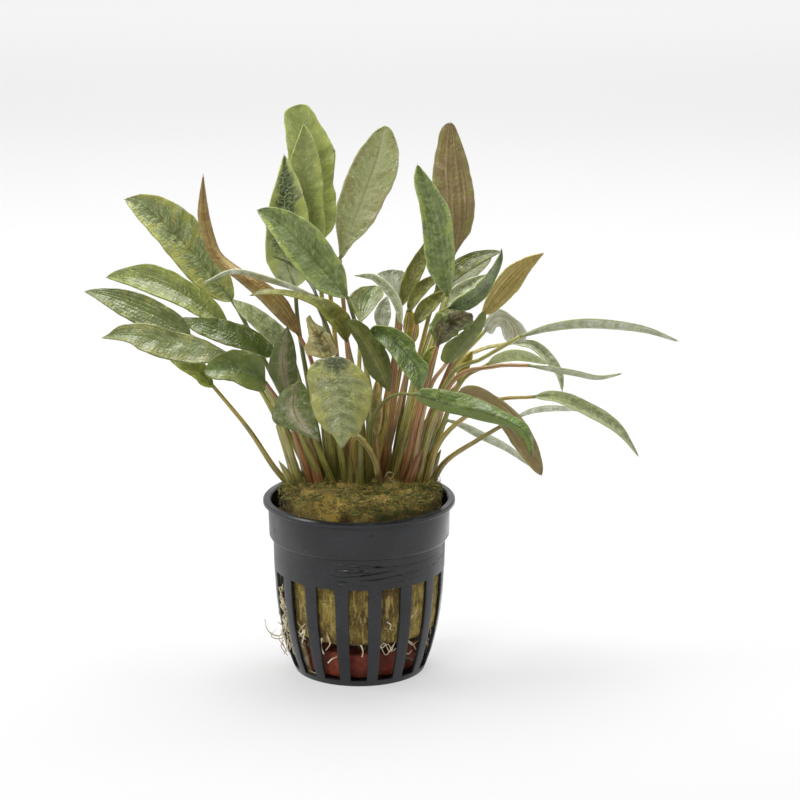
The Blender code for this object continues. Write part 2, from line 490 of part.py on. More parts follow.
def leaf_sections(leaf):
    """Place on the midrib, half width, half thickness, turn and fold of each ring, foot to tip."""
    neck = leaf_path(leaf)[1]
    turns = [math.radians(v) for v in leaf.get("turn", (0, 0))]
    fold = math.radians(leaf.get("fold", FOLD))
    sections = [(t * neck, STEM_WIDTH / 2, STEM_WIDTH / 2, turns[0] * t, 0.0) for t in STEM_STATIONS]
    for t in BLADE_STATIONS:
        width = max(leaf["wide"] * MM * blade_share(leaf, t), STEM_WIDTH * (1.0 - t), TIP_WIDTH)
        thick = STEM_WIDTH + (BLADE_THICKNESS - STEM_WIDTH) * min(4 * t, 1.0)
        thick *= 1.0 - TIP_THINNING * t
        sections.append((neck + t * (1.0 - neck), width / 2, thick / 2, read_values(turns, t),
                         fold * min(5 * t, 1.0)))
    return sections


def make_leaf(name, leaf, look):
    """A stalk that widens into a flat blade, one closed solid of four-cornered rings."""
    bm = bmesh.new()
    path = leaf_path(leaf)[0]
    away = Vector((0.0, 1.0, 0.0))
    flat = Vector((-1.0, 0.0, 0.0))
    rings = []
    for t, half_width, half_thick, turn, lift in leaf_sections(leaf):
        centre = read_curve(path, t)
        tangent = read_tangent(path, t) if t > 0.0 else Vector((0.0, 0.0, 1.0))
        if leaf.get("arch"):
            flat = (flat - tangent * flat.dot(tangent)).normalized()
        else:
            flat = tangent.cross(away).normalized()
        face = tangent.cross(flat)
        across = flat * math.cos(turn) + face * math.sin(turn)
        out = face * math.cos(turn) - flat * math.sin(turn)
        edge = across * half_width * math.cos(lift)
        raised = out * half_width * math.sin(lift)
        corners = [centre - edge + raised, centre + out * half_thick, centre + edge + raised,
                   centre - out * half_thick]
        rings.append([bm.verts.new(corner) for corner in corners])
    bm.faces.new(rings[0])
    bm.faces.new(rings[-1][::-1])
    for low, high in zip(rings, rings[1:]):
        join_rings(bm, low, high)
    # the sides twist, so each is split along the diagonal that keeps them flattest
    bmesh.ops.triangulate(bm, faces=bm.faces[:], quad_method="BEAUTY")
    add_object(name, mesh_from(name, bm), look)


def make_root(look):
    """One round root, swept along its points."""
    bm = bmesh.new()
    path = [Vector(point) * MM for point in ROOT_POINTS]
    up = Vector((0.0, 0.0, 1.0))
    rings = []
    for i in range(ROOT_RINGS):
        t = i / (ROOT_RINGS - 1)
        centre = read_curve(path, t)
        beside = read_tangent(path, t).cross(up).normalized()
        above = beside.cross(read_tangent(path, t))
        radius = (ROOT_WIDTH + (ROOT_TIP_WIDTH - ROOT_WIDTH) * t) / 2
        angles = [math.tau * j / ROOT_SIDES for j in range(ROOT_SIDES)]
        rings.append([bm.verts.new(centre + (beside * math.cos(a) + above * math.sin(a)) * radius)
                      for a in angles])
    bm.faces.new(rings[0])
    bm.faces.new(rings[-1][::-1])
    for low, high in zip(rings, rings[1:]):
        join_rings(bm, low, high)
    add_object("root_01", mesh_from("root_01", bm), look)


def main():
    for old in list(bpy.data.objects):
        bpy.data.objects.remove(old)
    make_pot(material("black_plastic", (0.045, 0.047, 0.052), 0.42))
    make_clay_disc(material("fired_clay", (0.24, 0.06, 0.03), 0.85))
    make_rockwool(material("rockwool_fibre", (0.30, 0.24, 0.06), 0.95))
    make_crown(material("rhizome", (0.10, 0.08, 0.03), 0.8))
    make_root(material("root_white", (0.62, 0.55, 0.36), 0.6))
    looks = {key: material("leaf_" + key, colour, LEAF_ROUGHNESS) for key, colour in LEAF_COLOURS.items()}
    for name, leaf in LEAVES.items():
        make_leaf(name, leaf, looks[leaf.get("look", "green")])


main()
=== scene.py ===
import functools
import json
import math
import random

import bmesh
import bpy
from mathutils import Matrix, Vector, noise


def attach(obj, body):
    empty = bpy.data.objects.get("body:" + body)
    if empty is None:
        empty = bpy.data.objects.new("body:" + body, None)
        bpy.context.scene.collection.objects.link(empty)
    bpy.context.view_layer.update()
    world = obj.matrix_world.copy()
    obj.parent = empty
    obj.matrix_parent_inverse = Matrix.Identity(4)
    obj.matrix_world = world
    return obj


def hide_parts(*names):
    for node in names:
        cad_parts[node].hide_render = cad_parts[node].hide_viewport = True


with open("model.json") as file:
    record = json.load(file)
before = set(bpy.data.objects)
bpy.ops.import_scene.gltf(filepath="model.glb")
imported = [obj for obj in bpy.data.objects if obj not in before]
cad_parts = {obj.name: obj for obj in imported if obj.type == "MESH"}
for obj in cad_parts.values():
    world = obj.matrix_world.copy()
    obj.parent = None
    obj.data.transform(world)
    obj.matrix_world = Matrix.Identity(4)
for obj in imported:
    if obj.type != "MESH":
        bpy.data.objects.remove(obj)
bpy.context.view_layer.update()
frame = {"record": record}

mm = 0.001
scene = bpy.context.scene
# the photograph's camera: where it stood in mm, how far it looked down in degrees, its lens and sensor in
# mm, and how many pixels wide its frame is
eye = Vector((11.7, -800.0, 289.5))
view = dict(down=14.71, lens=131.04, sensor=36.0, frame=800)
# settings that many nodes share
smooth = dict(interpolation_type="SMOOTHSTEP")
times = dict(operation="MULTIPLY")
plus = dict(operation="ADD")
timesPlus = dict(operation="MULTIPLY_ADD")
toAndFro = dict(operation="PINGPONG")


def toLinear(shade):
    # sRGB hex to linear
    parts = [int(shade[i:i + 2], 16) / 255 for i in (1, 3, 5)]
    return tuple(p / 12.92 if p <= 0.04045 else ((p + 0.055) / 1.055) ** 2.4 for p in parts) + (1.0,)


def addNode(tree, kind, *values, named=None, out=0, **settings):
    # values fill the first sockets in order and named the others; a colour is given in hex
    node = tree.nodes.new("ShaderNode" + kind)
    for key, value in settings.items():
        setattr(node, key, value)
    for key, value in list(enumerate(values)) + list((named or {}).items()):
        if isinstance(value, bpy.types.NodeSocket):
            tree.links.new(value, node.inputs[key])
        else:
            node.inputs[key].default_value = toLinear(value) if isinstance(value, str) else value
    return node.outputs[out]


def newMaterial(name, **shaderValues):
    look = bpy.data.materials.new(name)
    look.use_nodes = True
    shader = look.node_tree.nodes["Principled BSDF"]
    for key, value in shaderValues.items():
        shader.inputs[key.replace("_", " ")].default_value = value
    return look, functools.partial(addNode, look.node_tree)


def dress(look, ground, layers, rough=None, height=None, depth=0.3, strength=0.5):
    # each layer is (mask, how strong, shade) over the ground shade; depth of the relief in mm
    tree = look.node_tree
    shader = tree.nodes["Principled BSDF"]
    colour = ground
    for mask, strong, shade in layers:
        amount = addNode(tree, "Math", mask, strong, **times)
        colour = addNode(tree, "Mix", amount, named={6: colour, 7: shade}, out=2, data_type="RGBA")
    tree.links.new(colour, shader.inputs["Base Color"])
    if rough:
        tree.links.new(rough, shader.inputs["Roughness"])
    if height:
        bump = addNode(tree, "Bump", named={"Height": height, "Distance": depth * mm, "Strength": strength})
        tree.links.new(bump, shader.inputs["Normal"])


def deselectAll():
    for item in bpy.context.selected_objects:
        item.select_set(False)


def makeActive(piece):
    deselectAll()
    piece.select_set(True)
    bpy.context.view_layer.objects.active = piece


def finish(piece, *nodes, slot=None):
    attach(piece, "root")
    if nodes:
        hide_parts(*nodes)
    deselectAll()


def newObject(name, bm, materials):
    mesh = bpy.data.meshes.new(name)
    bm.to_mesh(mesh)
    bm.free()
    made = bpy.data.objects.new(name, mesh)
    scene.collection.objects.link(made)
    for look in materials:
        mesh.materials.append(look)
    return made


def applyModifier(piece, kind, **settings):
    makeActive(piece)
    modifier = piece.modifiers.new(kind, kind)
    for key, value in settings.items():
        setattr(modifier, key, value)
    bpy.ops.object.modifier_apply(modifier=modifier.name)


def chooseParts(piece, kind, test):
    # in edit mode, selects the faces or edges that pass the test
    bpy.ops.mesh.select_mode(type=kind)
    bpy.ops.mesh.select_all(action="DESELECT")
    shape = bmesh.from_edit_mesh(piece.data)
    for part in (shape.faces if kind == "FACE" else shape.edges):
        if test(part):
            part.select_set(True)
    bmesh.update_edit_mesh(piece.data)


def turned(name, profile, sides, centre=(0.0, 0.0)):
    # a disc pulled up ring by ring through the profile's radii and heights, mm
    deselectAll()
    x, y = centre
    bpy.ops.mesh.primitive_circle_add(vertices=sides, radius=profile[0][0] * mm, fill_type="NGON",
                                      location=(x * mm, y * mm, profile[0][1] * mm))
    piece = bpy.context.object
    piece.name = name
    bpy.ops.object.transform_apply(location=True)
    bpy.ops.object.mode_set(mode="EDIT")
    for (near, low), (far, high) in zip(profile, profile[1:]):
        bpy.ops.mesh.extrude_region_move(TRANSFORM_OT_translate={"value": (0, 0, (high - low) * mm)})
        share = far / near
        bpy.ops.transform.resize(value=(share, share, 1.0), center_override=(x * mm, y * mm, high * mm))
    bpy.ops.mesh.select_all(action="SELECT")
    bpy.ops.mesh.normals_make_consistent(inside=False)
    return piece


def middleOf(part):
    return sum((vert.co for vert in part.verts), Vector()) / len(part.verts)


def fromFront(middle):
    # the turn of a point round the pot's axis, from its front
    return math.atan2(middle.x, -middle.y)


def makeCamera():
    camera = bpy.data.objects.new("camera", bpy.data.cameras.new("camera"))
    scene.collection.objects.link(camera)
    camera.location = eye * mm
    camera.rotation_euler = (math.radians(90.0 - view["down"]), 0.0, 0.0)
    camera.data.sensor_width = view["sensor"]
    camera.data.lens = view["lens"]
    camera.data.clip_start = 0.05
    scene.camera = camera
    scene.view_settings.view_transform = "Standard"


deselectAll()
makeCamera()

# the paper lies flat in front, sweeps up behind the pot and stands up to its height, m
stageSizes = dict(width=16.0, front=7.0, back=2.6, sweep=0.8, height=2.4, rows=80)
# how bright the paper glows at set distances behind the pot, m
paperGlow = ((-0.15, 0.49), (0.05, 0.54), (0.3, 0.58), (0.9, 0.59), (1.6, 0.75))
# place in m, size in m and power in W
lamps = dict(overhead=((0.05, 0.3, 1.15), 0.8, 20.0), left=((-1.0, -0.1, 0.85), 0.6, 7.5),
             right=((1.0, -0.35, 0.75), 0.7, 3.0), front=((-0.6, -1.3, 1.0), 0.7, 9.0),
             glint=((-0.5, -0.9, 0.8), 0.1, 0.8))


def makeFloor():
    v = stageSizes
    bpy.ops.mesh.primitive_grid_add(x_subdivisions=2, y_subdivisions=v["rows"], size=1.0)
    floor = bpy.context.object
    floor.name = "floor"
    straight = v["back"] - v["sweep"]
    for vertex in floor.data.vertices:
        along = (vertex.co.y + 0.5) * (v["front"] + v["back"] + v["height"]) - v["front"]
        across = vertex.co.x * v["width"]
        if along <= straight:
            vertex.co = (across, along, 0.0)
        else:
            turn = min((along - straight) / v["sweep"], math.pi / 2)
            rest = max(along - straight - v["sweep"] * math.pi / 2, 0.0)
            up = v["sweep"] * (1 - math.cos(turn)) + rest
            vertex.co = (across, straight + v["sweep"] * math.sin(turn), up)
    # matt paper that glows a little by itself, which keeps it near white and the shadow on it soft
    paper, add = newMaterial("white paper sweep, matt", Roughness=0.9)
    shader = paper.node_tree.nodes["Principled BSDF"]
    shader.inputs["Base Color"].default_value = toLinear("#8c8c8c")
    shader.inputs["Specular IOR Level"].default_value = 0.0
    shader.inputs["Emission Color"].default_value = (1, 1, 1, 1)
    place = add("SeparateXYZ", add("TexCoord", out="Object")).node.outputs[1]
    glow = paperGlow[0][1]
    for (near, before), (far, after) in zip(paperGlow, paperGlow[1:]):
        rise = add("MapRange", place, near, far, 0.0, after - before, **smooth)
        glow = add("Math", rise, glow, **plus)
    paper.node_tree.links.new(glow, shader.inputs["Emission Strength"])
    floor.data.materials.append(paper)


def makeRoom():
    # a room that is bright above and behind, dim on the side of the camera
    world = bpy.data.worlds.new("softRoom")
    scene.world = world
    world.use_nodes = True
    add = functools.partial(addNode, world.node_tree)
    way = add("SeparateXYZ", add("TexCoord", out="Generated"))
    behind = add("Math", way.node.outputs[1], 0.5, **times)
    lift = add("Math", way.node.outputs[2], 0.8, behind, **timesPlus)
    room = add("MapRange", lift, -0.6, 0.6, 0.12, 0.85, **smooth)
    world.node_tree.links.new(room, world.node_tree.nodes["Background"].inputs[1])


def makeLamps():
    for name, (place, size, power) in lamps.items():
        bulb = bpy.data.lights.new(name, "AREA")
        bulb.size = size
        bulb.energy = power
        lamp = bpy.data.objects.new(name, bulb)
        scene.collection.objects.link(lamp)
        lamp.location = place
        lamp.rotation_euler = (Vector((0, 0, 0.07)) - Vector(place)).to_track_quat("-Z", "Y").to_euler()


makeFloor()
makeRoom()
makeLamps()
print("stage and camera done")

# in mm; slotShare is how much of each pitch is open, wallFrom the radius outside which the slots are cut, and
# flowLow and flowHigh where the mould's flow marks fade
potSizes = dict(height=51.0, rim=27.5, rimDepth=1.6, collar=26.1, collarFoot=25.8, collarDepth=11.6,
                bodyTop=24.7, base=18.7, baseRing=12.0, baseThick=1.2, wall=0.8, bulge=2.1, slots=16,
                slotShare=0.6, slotLow=1.9, slotHigh=30.6, sides=160, softEdge=0.14, smoothAngle=35,
                baseSlots=8, baseSlotWide=2.4, baseSlotFrom=6.5, baseSlotTo=15.0,
                levels=(6.0, 12.0, 18.0, 24.0), upperLevel=34.5, wallFrom=15.0, flowLow=(31.0, 34.0),
                flowHigh=(39.5, 38.0))
# small sink marks seen on the pot, dented and darkened with painted shade: (x, y, z) on its outer face and
# radius, mm
sinkMarks = [((-23.6, -10.6, 44.2), 0.75), ((3.7, -25.8, 47.0), 0.5), ((-22.9, -10.2, 34.4), 0.4)]


def potRadius(z):
    v = potSizes
    t = z / (v["height"] - v["collarDepth"])
    return v["base"] + (v["bodyTop"] - v["base"]) * t + v["bulge"] * math.sin(math.pi * t ** 0.8)


def potMaterial():
    # polypropylene: dark grey, a broad soft sheen, faint flow marks from the mould and a few sink marks,
    # dented and darkened with painted shade
    look, add = newMaterial("polypropylene, injection moulded, wet", Specular_IOR_Level=0.4)
    place = add("TexCoord", out="Object")
    cloud = add("TexNoise", place, named={"Scale": 70.0, "Detail": 3.0})
    fine = add("TexNoise", place, named={"Scale": 1800.0, "Detail": 2.0})
    height = add("SeparateXYZ", place).node.outputs[2]
    flat = add("Mapping", place, named={"Scale": (28.0, 28.0, 330.0)})
    flow = add("TexNoise", flat, named={"Scale": 1.0, "Detail": 2.0, "Distortion": 1.6})
    line = add("Math", add("Math", flow, 3.0, **times), 0.5, **toAndFro)
    line = add("MapRange", line, 0.0, 0.13, 1.0, 0.0, **smooth)
    band = add("MapRange", height, *(z * mm for z in potSizes["flowLow"]), **smooth)
    above = add("MapRange", height, *(z * mm for z in potSizes["flowHigh"]), **smooth)
    band = add("Math", band, above, **times)
    line = add("Math", line, band, **times)
    sunk = 0.0
    for centre, radius in sinkMarks:
        away = add("VectorMath", place, tuple(c * mm for c in centre), operation="DISTANCE", out="Value")
        spot = add("MapRange", away, radius * mm, radius * 0.6 * mm, **smooth)
        sunk = add("Math", spot, sunk, operation="MAXIMUM")
    relief = add("Math", cloud, 0.5, add("Math", fine, 0.12, **times), **timesPlus)
    relief = add("Math", line, -1.6, relief, **timesPlus)
    relief = add("Math", sunk, -1.6, relief, **timesPlus)
    # painted shade: the sink marks are darkened almost to black
    layers = [(add("MapRange", cloud, 0.35, 0.7, **smooth), 0.8, "#303134"),
              (line, 0.9, "#0c0c0d"),
              (sunk, 0.9, "#050505")]
    dress(look, "#1f2022", layers, rough=add("MapRange", cloud, 0.38, 0.62, 0.16, 0.4, **smooth),
          height=relief, depth=0.5, strength=0.5)
    return look


def potProfile():
    # (radius, height) up the outside, over the rim and down the inside, mm
    v = potSizes
    wall, top = v["wall"], v["height"]
    step, rim = top - v["collarDepth"], top - v["rimDepth"]
    heights = [v["slotLow"], *v["levels"], v["slotHigh"], v["upperLevel"], step - 0.5]
    profile = [(v["baseRing"], 0), (v["base"] - 0.8, 0), (v["base"] + 0.15, 0.15), (v["base"] + 0.35, 0.7)]
    profile += [(potRadius(z), z) for z in heights]
    profile += [(v["bodyTop"] + 0.1, step), (v["collarFoot"] - 0.35, step + 0.35),
                (v["collarFoot"], step + 0.9), (v["collar"], rim - 0.3), (v["collar"] + 0.25, rim),
                (v["rim"] - 0.35, rim), (v["rim"], rim + 0.35), (v["rim"], top - 0.4),
                (v["rim"] - 0.35, top), (v["collar"] - 0.4, top), (v["collar"] - wall, top - 0.4),
                (v["collarFoot"] - wall, step + 1.4), (v["bodyTop"] - wall, step + 0.4)]
    profile += [(potRadius(z) - wall, z) for z in reversed(heights)]
    return profile + [(potRadius(v["baseThick"]) - wall, v["baseThick"]), (v["baseRing"], v["baseThick"])]


def openSlots(pot):
    # the slots are cut out of the outer and inner wall, and each one's two edges are bridged
    v = potSizes
    pitch = math.tau / v["slots"]

    def inSlot(face):
        middle = middleOf(face)
        turn = (fromFront(middle) + pitch / 2) % pitch - pitch / 2
        level = v["slotLow"] * mm < middle.z < v["slotHigh"] * mm
        return level and middle.xy.length > v["wallFrom"] * mm and abs(turn) < pitch * v["slotShare"] / 2

    chooseParts(pot, "FACE", inSlot)
    bpy.ops.mesh.delete(type="FACE")
    for n in range(v["slots"]):
        chooseParts(pot, "EDGE", lambda edge: edge.is_boundary
                    and round(fromFront(middleOf(edge)) / pitch) % v["slots"] == n)
        bpy.ops.mesh.bridge_edge_loops()
    bpy.ops.mesh.select_all(action="SELECT")
    bpy.ops.mesh.normals_make_consistent(inside=False)
    bpy.ops.object.mode_set(mode="OBJECT")


def openBase(pot):
    v = potSizes
    deselectAll()
    cutters = []
    reach = (v["baseSlotFrom"] + v["baseSlotTo"]) / 2 * mm
    size = ((v["baseSlotTo"] - v["baseSlotFrom"]) * mm, v["baseSlotWide"] * mm, 4 * mm)
    for n in range(v["baseSlots"]):
        turn = math.tau * (n + 0.5) / v["baseSlots"]
        place = (reach * math.cos(turn), reach * math.sin(turn), 0.0)
        bpy.ops.mesh.primitive_cube_add(size=1.0, location=place, rotation=(0, 0, turn), scale=size)
        cutters.append(bpy.context.object)
    for cutter in cutters:
        applyModifier(pot, "BOOLEAN", object=cutter, operation="DIFFERENCE")
        bpy.data.objects.remove(cutter)


def makePot(look):
    v = potSizes
    pot = turned("potShell", potProfile(), v["sides"])
    openSlots(pot)
    pot.data.materials.append(look)
    openBase(pot)
    applyModifier(pot, "BEVEL", width=v["softEdge"] * mm, segments=2, limit_method="ANGLE",
                  angle_limit=math.radians(50))
    makeActive(pot)
    bpy.ops.object.shade_smooth_by_angle(angle=math.radians(v["smoothAngle"]))
    finish(pot, "pot", slot="black_plastic")


makePot(potMaterial())
print("pot done")


def readCurve(points, t):
    # a point at share t of a smooth curve through all the points
    spans = len(points) - 1
    place = min(max(t, 0.0), 1.0) * spans
    i = min(int(place), spans - 1)
    u = place - i
    a = points[i - 1] if i > 0 else points[0] * 2 - points[1]
    b, c = points[i], points[i + 1]
    d = points[i + 2] if i + 2 <= spans else points[spans] * 2 - points[spans - 1]
    first, second, third = c - a, 2 * a - 5 * b + 4 * c - d, 3 * b - a - 3 * c + d
    return 0.5 * (2 * b + first * u + second * u * u + third * u ** 3)


def evenly(points, count):
    # points spread by length along a smooth curve through the given ones
    fine = [readCurve(points, i / (len(points) * 12)) for i in range(len(points) * 12 + 1)]
    lengths = [0.0]
    for a, b in zip(fine, fine[1:]):
        lengths.append(lengths[-1] + (b - a).length)
    out, k = [], 0
    for i in range(count):
        want = lengths[-1] * i / (count - 1)
        while k < len(lengths) - 2 and lengths[k + 1] < want:
            k += 1
        part = (want - lengths[k]) / max(lengths[k + 1] - lengths[k], 1e-9)
        out.append(fine[k].lerp(fine[k + 1], min(max(part, 0.0), 1.0)))
    return out


def addTube(bm, path, radii, sides=8, materialIndex=0, ridge=0.0, uvLayer=None, flat=1.0):
    # a tapered tube along points in mm; ridge makes it fluted, flat squeezes it front to back
    rings = []
    side = None
    length = 0.0
    along = []
    for i, point in enumerate(path):
        tangent = (path[min(i + 1, len(path) - 1)] - path[max(i - 1, 0)]).normalized()
        if side is None:
            side = tangent.cross(Vector((0, 1, 0.1))).normalized()
        side = (side - tangent * side.dot(tangent)).normalized()
        other = tangent.cross(side)
        if i:
            length += (point - path[i - 1]).length
        along.append(length)
        ring = []
        for k in range(sides):
            a = math.tau * k / sides
            radius = radii[i] * (1.0 + ridge * math.cos(a * 4.0))
            outward = side * math.cos(a) + other * math.sin(a) * flat
            ring.append(bm.verts.new((point + outward * radius) * mm))
        rings.append(ring)
    for n, (low, high) in enumerate(zip(rings, rings[1:])):
        for k in range(sides):
            j = (k + 1) % sides
            face = bm.faces.new((low[k], low[j], high[j], high[k]))
            face.smooth = True
            face.material_index = materialIndex
            if uvLayer:
                for loop, (u, w) in zip(face.loops, ((k, n), (k + 1, n), (k + 1, n + 1), (k, n + 1))):
                    loop[uvLayer].uv = (u / sides, along[w] * 0.1)
    for ring in (rings[0][::-1], rings[-1]):
        face = bm.faces.new(ring)
        face.smooth = True
        face.material_index = materialIndex


def onSight(across, up, depth):
    # the point seen at (across, up) on the plane of the pot's axis, carried back to its depth, mm
    seen = Vector((across, 0.0, up))
    return eye + (seen - eye) * (1.0 - depth / eye.y)


def pixelPoint(px, py, depth):
    # a point of the photograph at its depth behind the axis, mm
    down, middle = math.radians(view["down"]), view["frame"] / 2
    far = view["lens"] / view["sensor"] * view["frame"]
    right, high = (px - middle) / far, (middle - py) / far
    ray = Vector((right, math.cos(down) + high * math.sin(down), -math.sin(down) + high * math.cos(down)))
    return eye + ray * ((depth - eye.y) / ray.y)


footZ = 53.2  # how high above the pot's base the stalks leave the crown, mm
